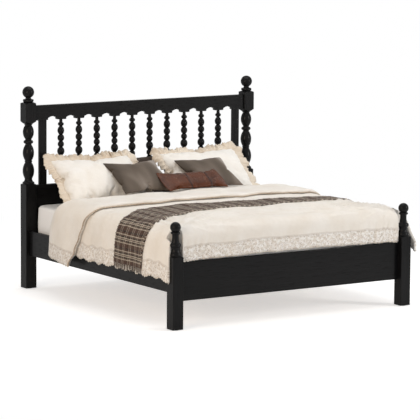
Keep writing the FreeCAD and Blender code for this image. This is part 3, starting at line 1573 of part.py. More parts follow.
def cushions():
    """Two shams against the spindles, two velvet cushions, a lumbar cushion and one behind."""
    rim, gap = value("cushion_rim"), value("soft_gap")
    wall = value(less(HEADBOARD_Y, "centre_ball_radius")) - gap
    lean = value("sham_lean")
    angle = math.radians(lean)
    sham_top = wall - value("sham_setback")
    sham_foot = sham_top - value("sham_height") * math.cos(angle) - rim * math.sin(angle)
    for side, sign in SIDES:
        cushion(
            f"sham_{side}", value("sham_width"), value("sham_height"),
            value("sham_front"), value("sham_back"), lean,
            value(f"sham_{side}_centre"), sham_foot, False,
        )
    cushion_foot = sham_foot - value("cushion_step")
    for side, sign in SIDES:
        cushion(
            f"velvet_cushion_{side}", value("cushion_width"), value("cushion_height"),
            value("cushion_front"), value("cushion_back_crown"), value(f"cushion_{side}_lean"),
            value(f"cushion_{side}_centre"), cushion_foot, True,
        )
    lumbar_foot = cushion_foot - value("lumbar_step")
    cushion(
        "lumbar_cushion", value("lumbar_width"), value("lumbar_height"),
        value("lumbar_front"), value("lumbar_back"), value("lumbar_lean"),
        value("lumbar_centre"), lumbar_foot, True,
    )
    side, crown = value("rear_cushion_width"), value("rear_cushion_crown")
    rear_lean = value("rear_cushion_lean")
    rear_angle = math.radians(rear_lean)
    rear_foot = wall - side * math.cos(rear_angle) - rim * math.sin(rear_angle)
    cushion(
        "rear_cushion", side, side, crown, crown, rear_lean,
        value("rear_cushion_centre"), rear_foot, False,
    )


# ---------------------------------------------------------------- the whole bed


def check():
    """Stop where an object failed or a sub-part holds no sound solid."""
    for thing in doc.Objects:
        if "Invalid" in thing.State or "Error" in thing.State:
            raise RuntimeError(f"{thing.Label} failed: {thing.State}")
    for label, thing in nodes.items():
        shape = thing.Shape
        if shape.isNull() or not shape.isValid() or not shape.Solids:
            raise RuntimeError(f"{label} is not a sound solid")


def write():
    os.makedirs("parts", exist_ok=True)
    for label, thing in nodes.items():
        thing.Shape.exportStep(os.path.join("parts", f"{label}.step"))


def main():
    for side, sign in SIDES:
        head_post(side, sign)
        foot_post(side, sign)
        stile(side, sign)
    crest_rail()
    sill_rail()
    headboard_panel()
    spindles()
    footboard()
    side_rails()
    slats()
    centre_support()
    hardware()
    mattress()
    duvet()
    throw()
    cushions()
    doc.recompute()
    check()
    write()
    print(f"{len(nodes)} sub-parts")


main()
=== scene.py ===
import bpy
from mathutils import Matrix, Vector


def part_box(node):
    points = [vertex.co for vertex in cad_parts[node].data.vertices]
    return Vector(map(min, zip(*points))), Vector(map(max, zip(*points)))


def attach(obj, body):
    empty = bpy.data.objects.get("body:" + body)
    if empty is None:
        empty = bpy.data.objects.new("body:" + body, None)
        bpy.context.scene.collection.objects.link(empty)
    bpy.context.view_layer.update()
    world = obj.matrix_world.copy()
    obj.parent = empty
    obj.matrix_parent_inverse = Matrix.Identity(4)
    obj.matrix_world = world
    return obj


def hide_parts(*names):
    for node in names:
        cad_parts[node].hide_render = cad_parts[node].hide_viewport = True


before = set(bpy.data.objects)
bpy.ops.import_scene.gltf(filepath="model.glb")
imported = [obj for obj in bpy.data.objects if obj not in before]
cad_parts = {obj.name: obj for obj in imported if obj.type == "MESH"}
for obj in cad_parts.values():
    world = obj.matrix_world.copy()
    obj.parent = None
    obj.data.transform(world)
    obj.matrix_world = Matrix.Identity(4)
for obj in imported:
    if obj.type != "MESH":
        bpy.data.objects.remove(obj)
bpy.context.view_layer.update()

import bisect
import math

import bmesh
import bpy
from mathutils import Matrix, Vector, noise

# The looks of a dressed king-size spindle bed. X runs across the bed, +Y to the headboard, +Z up.

scene = bpy.context.scene
BED = "bed"
MATTRESS_LOW, MATTRESS_HIGH = (Vector(corner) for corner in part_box("mattress"))
REST = MATTRESS_HIGH.z


# ---------------------------------------------------------------- small helpers


def smooth(low, high, x):
    """0 below low, 1 above high, eased between."""
    t = min(1.0, max(0.0, (x - low) / (high - low)))
    return t * t * (3 - 2 * t)


def mix(a, b, t):
    return a + (b - a) * t


def along_table(table, x):
    """Eased value between rows of (x, value, value, ...)."""
    if x <= table[0][0]:
        return table[0][1:]
    for here, there in zip(table, table[1:]):
        if x <= there[0]:
            t = smooth(here[0], there[0], x)
            return tuple(mix(p, q, t) for p, q in zip(here[1:], there[1:]))
    return table[-1][1:]


def wobble(x, y, z, size):
    """Smooth noise from -1 to 1, its lumps about size metres across."""
    return noise.noise(Vector((x / size, y / size, z / size)))


def mesh_of(name, bm):
    mesh = bpy.data.meshes.new(name)
    bm.to_mesh(mesh)
    bm.free()
    return mesh


def placed(name, data):
    """A new object in the scene."""
    holder = bpy.data.objects.new(name, data)
    scene.collection.objects.link(holder)
    return holder


def evaluated_mesh(holder):
    """The mesh that a curve or a simulated object has now; the object itself is removed."""
    graph = bpy.context.evaluated_depsgraph_get()
    mesh = bpy.data.meshes.new_from_object(holder.evaluated_get(graph))
    bpy.data.objects.remove(holder)
    return mesh


def finished(name, bm, material, body=BED):
    """A bmesh as a finished piece of the bed."""
    mesh = mesh_of(name, bm)
    piece = placed(name, mesh)
    mesh.polygons.foreach_set("use_smooth", [True] * len(mesh.polygons))
    for each in material if isinstance(material, (list, tuple)) else [material]:
        mesh.materials.append(each)
    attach(piece, body)
    return piece


def thicken(piece, thickness, offset=-1.0):
    wall = piece.modifiers.new("thickness", "SOLIDIFY")
    wall.thickness = thickness
    wall.offset = offset
    wall.use_even_offset = False


def subdivide(piece, levels):
    rounding = piece.modifiers.new("rounding", "SUBSURF")
    rounding.levels = levels
    rounding.render_levels = levels


def flat_grid(columns, rows):
    """A unit grid of cells, x and y from 0 to 1, with a UV layer."""
    bm = bmesh.new()
    bm.loops.layers.uv.new("cloth")
    bmesh.ops.create_grid(
        bm, x_segments=columns, y_segments=rows, size=0.5,
        matrix=Matrix.Translation((0.5, 0.5, 0)), calc_uvs=True,
    )
    return bm


def drape(bm, place, uv_place=None, fade=None):
    """Move each point of a flat sheet to its place in space, keeping its cloth coordinates."""
    uv = bm.loops.layers.uv.verify()
    shade = bm.verts.layers.float.new("lace")
    for face in bm.faces:
        for loop in face.loops:
            x, y = loop.vert.co.x, loop.vert.co.y
            loop[uv].uv = uv_place(x, y) if uv_place else (x, y)
    for vert in bm.verts:
        x, y = vert.co.x, vert.co.y
        vert[shade] = fade(x, y) if fade else 0.0
        vert.co = Vector(place(x, y))
    bmesh.ops.recalc_face_normals(bm, faces=bm.faces)


def face_up(bm, toward):
    """Turn an open sheet so that its outside faces a direction."""
    balance = sum(face.normal.dot(toward) * face.calc_area() for face in bm.faces)
    if balance < 0:
        bmesh.ops.reverse_faces(bm, faces=bm.faces)


def slice_at(bm, spot, across, dist=0.0):
    """A row of edges where a plane crosses a mesh, with nothing cut away."""
    bmesh.ops.bisect_plane(
        bm, geom=list(bm.verts) + list(bm.edges) + list(bm.faces),
        plane_co=spot, plane_no=across, dist=dist,
    )


# ---------------------------------------------------------------- material tools


def connect(tree, socket, source):
    """Give a socket a link from another socket, or a plain value."""
    if isinstance(source, bpy.types.NodeSocket):
        tree.links.new(source, socket)
    else:
        socket.default_value = source


def add(tree, kind, links=(), **settings):
    """A node with its settings; each of links is a socket and what connects to it."""
    node = tree.nodes.new(kind)
    for key, setting in settings.items():
        setattr(node, key, setting)
    for socket, source in links:
        connect(tree, node.inputs[socket], source)
    return node


def wire(node, **sources):
    """Connect a node's sockets, named with underlines for spaces."""
    for label, source in sources.items():
        connect(node.id_data, node.inputs[label.replace("_", " ")], source)


def use(tree, group, **links):
    """The outputs of a shared effect."""
    return add(tree, "ShaderNodeGroup", links.items(), node_tree=group).outputs


def ramp(tree, source, stops):
    node = add(tree, "ShaderNodeValToRGB", [("Fac", source)])
    while len(node.color_ramp.elements) < len(stops):
        node.color_ramp.elements.new(0.5)
    for element, (position, color) in zip(node.color_ramp.elements, stops):
        element.position = position
        element.color = (*color, 1.0)
    return node.outputs["Color"]


def maths(tree, operation, *sources):
    node = add(tree, "ShaderNodeMath", enumerate(sources), operation=operation)
    return node.outputs[0]


def blend_colors(tree, factor, first, second):
    """From one colour to another; a plain colour is three numbers."""
    node = add(tree, "ShaderNodeMix", data_type="RGBA")
    for index, source in ((0, factor), (6, first), (7, second)):
        plain = (*source, 1.0) if isinstance(source, tuple) else source
        connect(tree, node.inputs[index], plain)
    return node.outputs[2]


def tinted(tree, color, amount, share, tint):
    """A colour with a share of a tint over it, where amount is 1."""
    return blend_colors(tree, maths(tree, "MULTIPLY", amount, share), color, tint)


def noise_at(tree, vector, scale, **more):
    links = [("Vector", vector), ("Scale", scale), *more.items()]
    return add(tree, "ShaderNodeTexNoise", links).outputs["Fac"]


def spread(tree, value, low, high, ends=(0.0, 1.0), **settings):
    """A value from low to high, spread between two ends and held there."""
    links = [
        ("Value", value), ("From Min", low), ("From Max", high),
        ("To Min", ends[0]), ("To Max", ends[1]),
    ]
    return add(tree, "ShaderNodeMapRange", links, **settings).outputs["Result"]


def bump(tree, height, distance, strength=1.0, normal=None):
    links = [("Height", height), ("Distance", distance), ("Strength", strength)]
    if normal:
        links.append(("Normal", normal))
    return add(tree, "ShaderNodeBump", links).outputs["Normal"]


def new_material(name, **values):
    """A material, its tree and its Principled shader with plain values on its sockets."""
    material = bpy.data.materials.new(name)
    material.use_nodes = True
    shader = material.node_tree.nodes["Principled BSDF"]
    wire(shader, **values)
    return material, material.node_tree, shader


def object_places(tree, scale=(1, 1, 1)):
    source = add(tree, "ShaderNodeTexCoord").outputs["Object"]
    return add(tree, "ShaderNodeMapping", [("Vector", source), ("Scale", scale)]).outputs["Vector"]


def cloth_places(tree):
    return add(tree, "ShaderNodeUVMap", uv_map="cloth").outputs["UV"]


def new_group(name, number, outputs):
    """A node group that takes a Vector and one number: its tree, both of them, and its end."""
    tree = bpy.data.node_groups.new(name, "ShaderNodeTree")
    for label, kind in (("Vector", "Vector"), (number, "Float")):
        tree.interface.new_socket(label, in_out="INPUT", socket_type=f"NodeSocket{kind}")
    for label in outputs:
        tree.interface.new_socket(label, in_out="OUTPUT", socket_type="NodeSocketFloat")
    start = tree.nodes.new("NodeGroupInput").outputs
    return tree, start["Vector"], start[number], tree.nodes.new("NodeGroupOutput")


def make_grain_group():
    """Fibres and open pores of timber whose grain runs along the stretched axis."""
    tree, vector, scale, end = new_group("timber_grain", "Scale", ("Fibres", "Pores", "Figure"))
    pore_scale = maths(tree, "MULTIPLY", scale, 3.1)
    figure_scale = maths(tree, "MULTIPLY", scale, 0.12)
    pores = noise_at(tree, vector, pore_scale, Detail=3.0, Roughness=0.5)
    wire(
        end,
        Fibres=noise_at(tree, vector, scale, Detail=6.0, Roughness=0.65),
        Pores=spread(tree, pores, 0.56, 0.66),
        Figure=noise_at(tree, vector, figure_scale, Detail=2.0, Distortion=1.2),
    )
    return tree


def make_weave_group():
    """Plain weave: threads over and under, its height and a slow slub."""
    tree, vector, threads, end = new_group("plain_weave", "Threads", ("Height", "Slub"))
    parts = add(tree, "ShaderNodeSeparateXYZ", [("Vector", vector)]).outputs
    waves = []
    for axis in "XY":
        turns = maths(tree, "MULTIPLY", parts[axis], threads)
        waves.append(maths(tree, "SINE", maths(tree, "MULTIPLY", turns, math.pi)))
    slub_scale = maths(tree, "MULTIPLY", threads, 0.08)
    wire(
        end,
        Height=maths(tree, "ABSOLUTE", maths(tree, "MULTIPLY", *waves)),
        Slub=noise_at(tree, vector, slub_scale, Detail=4.0, Roughness=0.6),
    )
    return tree


def make_tone_group():
    """Slow change of tone over a surface, to break up a plain colour."""
    tree, vector, scale, end = new_group("slow_tone", "Scale", ("Tone",))
    tone = noise_at(tree, vector, scale, Detail=3.0, Roughness=0.55)
    wire(end, Tone=spread(tree, tone, 0.3, 0.7))
    return tree


GRAIN = make_grain_group()
WEAVE = make_weave_group()
TONE = make_tone_group()


def tone_at(tree, places, scale):
    return use(tree, TONE, Vector=places, Scale=scale)["Tone"]


# ---------------------------------------------------------------- timber and metal finishes

STRETCH = {"x": (0.07, 1, 1), "y": (1, 0.07, 1), "z": (1, 1, 0.07)}
PAINT_PALE = (0.0092, 0.0092, 0.0098)


def black_paint(axis):
    """Satin black paint that lets the grain of the timber through."""
    material, tree, shader = new_material(
        f"black_paint_{axis}", Roughness=0.4, Specular_IOR_Level=0.06, Coat_Weight=0.11,
        Coat_Roughness=0.05,
    )
    grain = use(tree, GRAIN, Vector=object_places(tree, STRETCH[axis]), Scale=64.0)
    fibres, pores = grain["Fibres"], grain["Pores"]
    paint = blend_colors(tree, fibres, (0.0010, 0.0010, 0.0011), PAINT_PALE)
    paint = tinted(tree, paint, tone_at(tree, object_places(tree), 2.2), 0.35, PAINT_PALE)
    paint = tinted(tree, paint, pores, 0.7, (0.001, 0.001, 0.001))
    rough = maths(tree, "MULTIPLY_ADD", fibres, 0.22, 0.30)
    relief = maths(tree, "MULTIPLY_ADD", pores, -0.8, fibres)
    wire(
        shader, Base_Color=paint, Roughness=maths(tree, "MULTIPLY_ADD", pores, 0.2, rough),
        Normal=bump(tree, relief, 0.0005, 0.6),
    )
    return material


def bare_pine(axis):
    material, tree, shader = new_material(f"bare_pine_{axis}", Roughness=0.62)
    grain = use(tree, GRAIN, Vector=object_places(tree, STRETCH[axis]), Scale=26.0)
    wood = ramp(
        tree, grain["Figure"],
        [(0.3, (0.66, 0.47, 0.28)), (0.52, (0.58, 0.38, 0.20)), (0.7, (0.70, 0.52, 0.33))],
    )
    wood = tinted(tree, wood, grain["Fibres"], 0.45, (0.42, 0.25, 0.12))
    wire(shader, Base_Color=wood, Normal=bump(tree, grain["Fibres"], 0.0004, 0.5))
    return material


def plated_steel(name, color, rough):
    material, tree, shader = new_material(name, Roughness=rough, Metallic=1.0)
    places = object_places(tree)
    dim = tuple(part * 0.72 for part in color)
    fine = noise_at(tree, places, 900.0)
    wire(
        shader, Base_Color=blend_colors(tree, tone_at(tree, places, 60.0), color, dim),
        Roughness=maths(tree, "MULTIPLY_ADD", fine, 0.25, rough - 0.1),
        Normal=bump(tree, fine, 0.0001, 0.4),
    )
    return material


def pressed_felt():
    material, tree, shader = new_material("pressed_felt", Roughness=0.95)
    fuzz = noise_at(tree, object_places(tree), 700.0, Detail=5.0)
    felt = blend_colors(tree, fuzz, (0.03, 0.03, 0.03), (0.10, 0.10, 0.10))
    wire(shader, Base_Color=felt, Normal=bump(tree, fuzz, 0.0006))
    return material


def cad_finishes():
    """Beginnings of node names, and the finish that they get. The first that fits counts."""
    paint = {axis: black_paint(axis) for axis in "xyz"}
    pine = {axis: bare_pine(axis) for axis in "xyz"}
    zinc = plated_steel("zinc_plate", (0.56, 0.57, 0.60), 0.38)
    return (
        (("head_post", "foot_post", "headboard_stile", "spindle_"), paint["z"]),
        (("side_rail",), paint["y"]),
        (("headboard", "footboard"), paint["x"]),
        (("slat_",), pine["x"]),
        (("side_ledger", "centre_beam"), pine["y"]),
        (("centre_leg",), pine["z"]),
        (("levelling_foot",), plated_steel("dull_zinc", (0.33, 0.33, 0.35), 0.5)),
        (("floor_glides",), pressed_felt()),
        (("beam_brackets", "post_hook_plates", "rail_hook_plates", "plate_screws",
          "timber_screws", "leg_bolt", "leg_insert"), zinc),
    )


SAWN_BOARDS = ("headboard", "footboard", "side_rail", "slat_", "side_ledger")


def dress_cad_nodes():
    """Give every carried-over node its finish, and round the edges of the sawn boards a little."""
    finishes = cad_finishes()
    for name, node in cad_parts.items():
        finish = next((made for starts, made in finishes if name.startswith(starts)), None)
        if finish is None:
            continue
        node.data.materials.clear()
        node.data.materials.append(finish)
        if name.startswith(SAWN_BOARDS):
            weld = node.modifiers.new("weld", "WELD")
            weld.merge_threshold = 0.00002
            easing = node.modifiers.new("easing", "BEVEL")
            easing.width = 0.0015
            easing.segments = 2
            easing.limit_method = "ANGLE"
            easing.angle_limit = math.radians(40)
            easing.harden_normals = False


dress_cad_nodes()


# ---------------------------------------------------------------- cloth finishes


def laced(tree, places, color, normal, net_shade, net_light, hole_shade_and_seam):
    """Eyelet lace over a cotton where its mesh is marked above one half, with a sewn edge. Its
    eyelet holes are coloured dark brown as painted shade inside them, and the seam is tinted with
    the same colour.
    """
    band = add(tree, "ShaderNodeAttribute", attribute_name="lace").outputs["Fac"]
    cells = add(
        tree, "ShaderNodeTexVoronoi", [("Vector", places), ("Scale", 104.0), ("Randomness", 0.8)]
    ).outputs["Distance"]
    eyelets = spread(tree, cells, 0.22, 0.40, (1.0, 0.0))
    petals = spread(tree, noise_at(tree, places, 46.0, Detail=3.0), 0.42, 0.6)
    inside = maths(tree, "GREATER_THAN", band, 0.5)
    # Painted shade: the eyelet holes take a dark brown for the shade inside them.
    net = tinted(tree, blend_colors(tree, petals, net_shade, net_light), eyelets, 0.75, hole_shade_and_seam)
    from_edge = maths(tree, "ABSOLUTE", maths(tree, "SUBTRACT", band, 0.5))
    seam = maths(tree, "LESS_THAN", from_edge, 0.045)
    color = tinted(tree, blend_colors(tree, inside, color, net), seam, 0.22, hole_shade_and_seam)
    relief = maths(tree, "MULTIPLY", maths(tree, "SUBTRACT", petals, eyelets), inside)
    return color, bump(tree, relief, 0.0018, 0.9, normal)


def cotton(name, light, shade, threads=420.0, lace=None):
    """Washed cotton: a fine weave and soft creases. lace gives the colours of its lace."""
    material, tree, shader = new_material(
        name, Roughness=0.85, Sheen_Weight=0.12, Sheen_Roughness=0.5, Specular_IOR_Level=0.25
    )
    places = cloth_places(tree)
    weave = use(tree, WEAVE, Vector=places, Threads=threads)
    color = blend_colors(tree, tone_at(tree, object_places(tree), 5.0), light, shade)
    color = tinted(tree, color, weave["Slub"], 0.25, tuple(part * 0.82 for part in shade))
    crease = noise_at(
        tree, object_places(tree, (1, 1.6, 1)), 22.0, Detail=4.0, Roughness=0.6, Distortion=0.6
    )
    normal = bump(tree, crease, 0.007, 0.6)
    normal = bump(tree, weave["Height"], 0.0003, 0.5, normal)
    if lace:
        color, normal = laced(tree, places, color, normal, *lace)
    wire(shader, Base_Color=color, Normal=normal)
    return material


# The third lace colour is the painted shade inside the eyelet holes, also used to tint the lace
# seam.
DUVET_COTTON = cotton(
    "duvet_cotton", (0.835, 0.808, 0.765), (0.77, 0.72, 0.65),
    lace=((0.70, 0.645, 0.58), (0.86, 0.84, 0.81), (0.34, 0.27, 0.22)),
)
LACE_EDGE = cotton("lace_edge", (0.80, 0.76, 0.69), (0.70, 0.63, 0.54), threads=900.0)
# Painted shadow: a dark brown cotton standing for the shadow line under the hem of the turned-back
# part.
HEM_SHADOW_LINE = cotton("hem_shadow_line", (0.68, 0.58, 0.46), (0.34, 0.24, 0.16), threads=900.0)
SHAM_COTTON = cotton("sham_cotton", (0.845, 0.828, 0.795), (0.80, 0.765, 0.71))
# Painted shade: the ruffles get a tan cotton, darker than the sham, for the shade they lie in.
RUFFLE_PAINTED_SHADE = cotton("ruffle_painted_shade", (0.76, 0.69, 0.59), (0.62, 0.52, 0.41), threads=700.0)
QUILT_PITCH = 0.16


def mattress_knit():
    material, tree, shader = new_material("mattress_knit", Roughness=0.9, Sheen_Weight=0.1)
    places = object_places(tree)
    parts = add(tree, "ShaderNodeSeparateXYZ", [("Vector", places)]).outputs
    quilt = []
    for axis in "XY":
        turns = maths(tree, "MULTIPLY", parts[axis], math.pi / QUILT_PITCH)
        quilt.append(maths(tree, "ABSOLUTE", maths(tree, "SINE", turns)))
    puff = maths(tree, "POWER", maths(tree, "MULTIPLY", *quilt), 0.35)
    knit = noise_at(tree, places, 500.0, Detail=2.0)
    color = blend_colors(tree, tone_at(tree, places, 4.0), (0.91, 0.905, 0.90), (0.87, 0.865, 0.86))
    normal = bump(tree, puff, 0.006, 0.35)
    wire(
        shader, Base_Color=tinted(tree, color, knit, 0.3, (0.66, 0.66, 0.66)),
        Normal=bump(tree, knit, 0.0006, 0.6, normal),
    )
    return material


def woven_plaid():
    """Brown, black and cream threads crossing, with cream lines along and across."""
    material, tree, shader = new_material(
        "plaid_wool", Roughness=0.95, Sheen_Weight=0.10, Sheen_Roughness=0.6,
        Specular_IOR_Level=0.15,
    )
    places = cloth_places(tree)
    parts = add(tree, "ShaderNodeSeparateXYZ", [("Vector", places)]).outputs
    jitter = noise_at(tree, places, 40.0, Detail=3.0)

    def stripes(axis, stops, repeat):
        spot = maths(tree, "MULTIPLY_ADD", jitter, 0.0025, parts[axis])
        color = ramp(tree, maths(tree, "FRACT", maths(tree, "DIVIDE", spot, repeat)), stops)
        color.node.color_ramp.interpolation = "CONSTANT"
        return color

    black, brown, cream, grey = (
        (0.007, 0.005, 0.004), (0.070, 0.031, 0.019), (0.64, 0.56, 0.45), (0.125, 0.09, 0.07)
    )
    across = stripes(
        "Y",
        [(0.0, brown), (0.26, cream), (0.31, grey), (0.38, black), (0.45, cream), (0.50, grey),
         (0.56, cream), (0.61, black), (0.70, grey), (0.77, cream), (0.82, brown), (0.92, black)],
        0.118,
    )
    along = stripes(
        "X",
        [(0.0, brown), (0.16, grey), (0.26, cream), (0.35, brown), (0.52, cream), (0.60, grey),
         (0.72, black), (0.86, brown)],
        0.076,
    )
    height = use(tree, WEAVE, Vector=places, Threads=330.0)["Height"]
    over = maths(tree, "GREATER_THAN", height, 0.55)
    color = blend_colors(tree, maths(tree, "MULTIPLY_ADD", over, 0.44, 0.20), across, along)
    fleck = maths(tree, "GREATER_THAN", noise_at(tree, places, 260.0, Detail=2.0), 0.62)
    relief = maths(tree, "MULTIPLY_ADD", fleck, 0.5, height)
    wire(
        shader, Base_Color=tinted(tree, color, fleck, 0.22, (0.50, 0.44, 0.37)),
        Normal=bump(tree, relief, 0.0022, 0.8),
    )
    return material


def yarn(name, dark, middle, pale):
    material, tree, shader = new_material(name, Roughness=0.95, Sheen_Weight=0.3)
    fibre = noise_at(tree, object_places(tree), 320.0, Detail=3.0)
    color = ramp(tree, fibre, [(0.38, dark), (0.52, middle), (0.62, pale)])
    wire(shader, Base_Color=color, Normal=bump(tree, fibre, 0.001))
    return material


def velvet():
    """Short pile, with painted sheen: lighter towards one side of the cloth and along slanting
    streaks, as the light falls on it.
    """
    material, tree, shader = new_material(
        "taupe_velvet", Roughness=0.75, Sheen_Weight=0.2, Sheen_Roughness=0.4,
        Sheen_Tint=(0.86, 0.77, 0.69, 1), Specular_IOR_Level=0.2,
    )
    places = cloth_places(tree)
    # Painted sheen: slanting streaks of lighter colour across the pile.
    sheen_strokes = add(
        tree, "ShaderNodeMapping",
        [("Vector", places), ("Scale", (1.0, 0.35, 1.0)), ("Rotation", (0, 0, math.radians(28)))],
    ).outputs["Vector"]
    painted_sheen = noise_at(tree, sheen_strokes, 4.2, Detail=2.0, Roughness=0.45, Distortion=0.5)
    across = add(tree, "ShaderNodeSeparateXYZ", [("Vector", places)]).outputs["X"]
    # Painted shade and sheen: darker towards one side of the cloth and lighter towards the other,
    # plus the streaks.
    color = ramp(
        tree, maths(tree, "MULTIPLY_ADD", across, 0.62, painted_sheen),
        [(0.36, (0.060, 0.045, 0.033)), (0.46, (0.115, 0.090, 0.070)),
         (0.54, (0.20, 0.166, 0.138)), (0.63, (0.40, 0.365, 0.335))],
    )
    pile = noise_at(tree, places, 900.0, Detail=2.0)
    wire(
        shader, Base_Color=tinted(tree, color, pile, 0.3, (0.07, 0.06, 0.052)),
        Normal=bump(tree, pile, 0.0006, 0.5),
    )
    return material


def leather():
    """Waxed leather with a fine grain, darker in the creases and by its seams; its lighter patches
    are partly wear and partly painted highlight.
    """
    material, tree, shader = new_material("brown_leather", Roughness=0.36, Specular_IOR_Level=0.15)
    places = cloth_places(tree)
    cells = add(
        tree, "ShaderNodeTexVoronoi", [("Vector", places), ("Scale", 330.0), ("Randomness", 1.0)],
        feature="DISTANCE_TO_EDGE",
    ).outputs["Distance"]
    cells = spread(tree, cells, 0.0, 0.18)
    color = blend_colors(
        tree, tone_at(tree, places, 9.0), (0.125, 0.036, 0.013), (0.055, 0.016, 0.006)
    )
    # Lighter patches over the leather: partly wear, partly painted highlight.
    wear_and_highlight = spread(tree, noise_at(tree, places, 16.0, Detail=5.0, Roughness=0.7), 0.52, 0.72)
    color = tinted(tree, color, wear_and_highlight, 0.40, (0.24, 0.105, 0.06))
    seam = add(tree, "ShaderNodeAttribute", attribute_name="lace").outputs["Fac"]
    color = blend_colors(tree, seam, color, (0.012, 0.006, 0.005))
    grooves = maths(tree, "MULTIPLY_ADD", cells, -0.35, 0.35)
    normal = bump(tree, noise_at(tree, places, 24.0, Detail=3.0, Distortion=1.5), 0.003, 0.5)
    wire(
        shader, Base_Color=blend_colors(tree, grooves, color, (0.03, 0.012, 0.008)),
        Roughness=maths(tree, "MULTIPLY_ADD", wear_and_highlight, 0.14, 0.22),
        Normal=bump(tree, cells, 0.0004, 0.6, normal),
    )
    return material


def dark_cloth():
    material, tree, shader = new_material("dark_brown_cloth", Roughness=0.9, Sheen_Weight=0.2)
    weave = use(tree, WEAVE, Vector=cloth_places(tree), Threads=260.0)
    color = blend_colors(tree, weave["Slub"], (0.035, 0.022, 0.016), (0.085, 0.055, 0.04))
    wire(shader, Base_Color=color, Normal=bump(tree, weave["Height"], 0.001, 0.7))
    return material


# ---------------------------------------------------------------- mattress

CORNER_ROUND = 0.10       # corners of the mattress seen from above
RIM_ROUND = 0.022         # its top and bottom edges
SIDE_DRAW = 0.006         # how far its sides draw in at the rims
PIPING_IN = 0.008         # piping inside the box of the mattress
PIPING_UP = 0.020         # and from its top and bottom
SIDE_BANDS = 6


def rounded_loop(low, high, radius, z):
    """Points round a rectangle with rounded corners."""
    points, steps = [], 10
    for corner, (cx, cy) in enumerate(
        ((high.x - radius, high.y - radius), (low.x + radius, high.y - radius),
         (low.x + radius, low.y + radius), (high.x - radius, low.y + radius))
    ):
        for step in range(steps + 1):
            turn = math.pi / 2 * (corner + step / steps)
            points.append(Vector((cx + radius * math.cos(turn), cy + radius * math.sin(turn), z)))
    return points


def piping(name, points, radius, material):
    """A round cord sewn along a closed line."""
    curve = bpy.data.curves.new(name, "CURVE")
    curve.dimensions = "3D"
    curve.bevel_depth = radius
    curve.bevel_resolution = 4
    line = curve.splines.new("POLY")
    line.points.add(len(points) - 1)
    for spot, point in zip(line.points, points):
        spot.co = (*point, 1)
    line.use_cyclic_u = True
    holder = placed(name, curve)
    bpy.context.view_layer.update()
    bm = bmesh.new()
    bm.from_mesh(evaluated_mesh(holder))
    bmesh.ops.remove_doubles(bm, verts=bm.verts, dist=0.00001)
    bmesh.ops.recalc_face_normals(bm, faces=bm.faces)
    return finished(name, bm, material)


def make_mattress():
    """Block with rounded corners, softly bulging sides and a quilted top."""
    knit = mattress_knit()
    low, high = MATTRESS_LOW, MATTRESS_HIGH
    bm = bmesh.new()
    bmesh.ops.create_cube(bm, size=1)
    bmesh.ops.scale(bm, vec=high - low, verts=bm.verts)
    bmesh.ops.translate(bm, vec=(low + high) / 2, verts=bm.verts)

    def rise(edge):
        return abs(edge.verts[0].co.z - edge.verts[1].co.z)

    def round_off(edges, offset, segments):
        bmesh.ops.bevel(
            bm, geom=edges, offset=offset, segments=segments, profile=0.5, affect="EDGES",
            material=-1,
        )

    round_off([edge for edge in bm.edges if rise(edge) > 0.1], CORNER_ROUND, 8)
    rims = [
        edge for edge in bm.edges
        if rise(edge) < 1e-6 and len(edge.link_faces) == 2
        and any(abs(face.normal.z) > 0.9 for face in edge.link_faces)
        and any(abs(face.normal.z) < 0.5 for face in edge.link_faces)
    ]
    round_off(rims, RIM_ROUND, 4)
    for part in range(1, SIDE_BANDS):
        z = low.z + RIM_ROUND + (high.z - low.z - 2 * RIM_ROUND) * part / SIDE_BANDS
        slice_at(bm, (0, 0, z), (0, 0, 1))
    middle = (low + high) / 2
    for vert in bm.verts:
        height = (vert.co.z - low.z) / (high.z - low.z)
        draw = SIDE_DRAW * (1 - math.sin(math.pi * min(1, max(0, height))) ** 0.6)
        for axis in (0, 1):
            side = vert.co[axis] - middle[axis]
            vert.co[axis] -= math.copysign(draw, side)
    mattress = finished("mattress_body", bm, knit)
    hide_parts("mattress")
    inward = Vector((PIPING_IN, PIPING_IN, 0))
    for label, z in (("top", high.z - PIPING_UP), ("bottom", low.z + PIPING_UP)):
        piping(
            f"mattress_piping_{label}", rounded_loop(low + inward, high - inward, 0.095, z),
            0.0045, knit,
        )


# ---------------------------------------------------------------- duvet and throw

SIDE_OUT = 1.046          # middle of the bed to the duvet where it hangs
SIDE_ROUND = 0.125        # rounding over the side
FOOT_OUT = 1.055          # middle of the bed to the duvet where it hangs at the foot
FOOT_ROUND = 0.080        # rounding over the foot
LOFT = 0.0805             # duvet over the mattress, near the sides
CROWN = 0.014             # more over the middle
SIDE_HEM = 0.357
FOOT_HEM = 0.483
CORNER_LOW = 0.49          # lowest point of the tuck behind a foot post
POST_GAP_X = 0.938        # the foot part stays inside the posts
POST_GAP_Y = 0.985        # the top stops before the foot posts
POST_PASS = 1.066         # cloth length across to where a side part is clear of a post
POST_PAST = 1.045         # and passes outside it up to here
SCALLOP_PITCH = 0.028
FOLD_HEM = 0.055
FOLD_HEAD = 0.528
FOLD_LIFT = 0.030         # turned-back part over the duvet
FOLD_LOW = 0.308, 0.345   # its lowest edge over the floor, at its hem and at the head


def rolled(length, flat, radius):
    """How far out, and how far down, a cloth is after a length over a rounded edge."""
    if length <= flat:
        return length, 0.0
    turn = (length - flat) / radius
    if turn <= math.pi / 2:
        return flat + radius * math.sin(turn), radius * (1 - math.cos(turn))
    return flat + radius, radius + length - flat - radius * math.pi / 2


def length_to_drop(drop, out, radius):
    """Cloth length from the middle to a drop below the top."""
    return out - radius + radius * math.pi / 2 + drop - radius


def ridge(x, y, z, size):
    """Sharp creases between soft swells, 0 to 1."""
    return max(0.0, 1 - 2.4 * abs(wobble(x, y, z, size))) ** 2


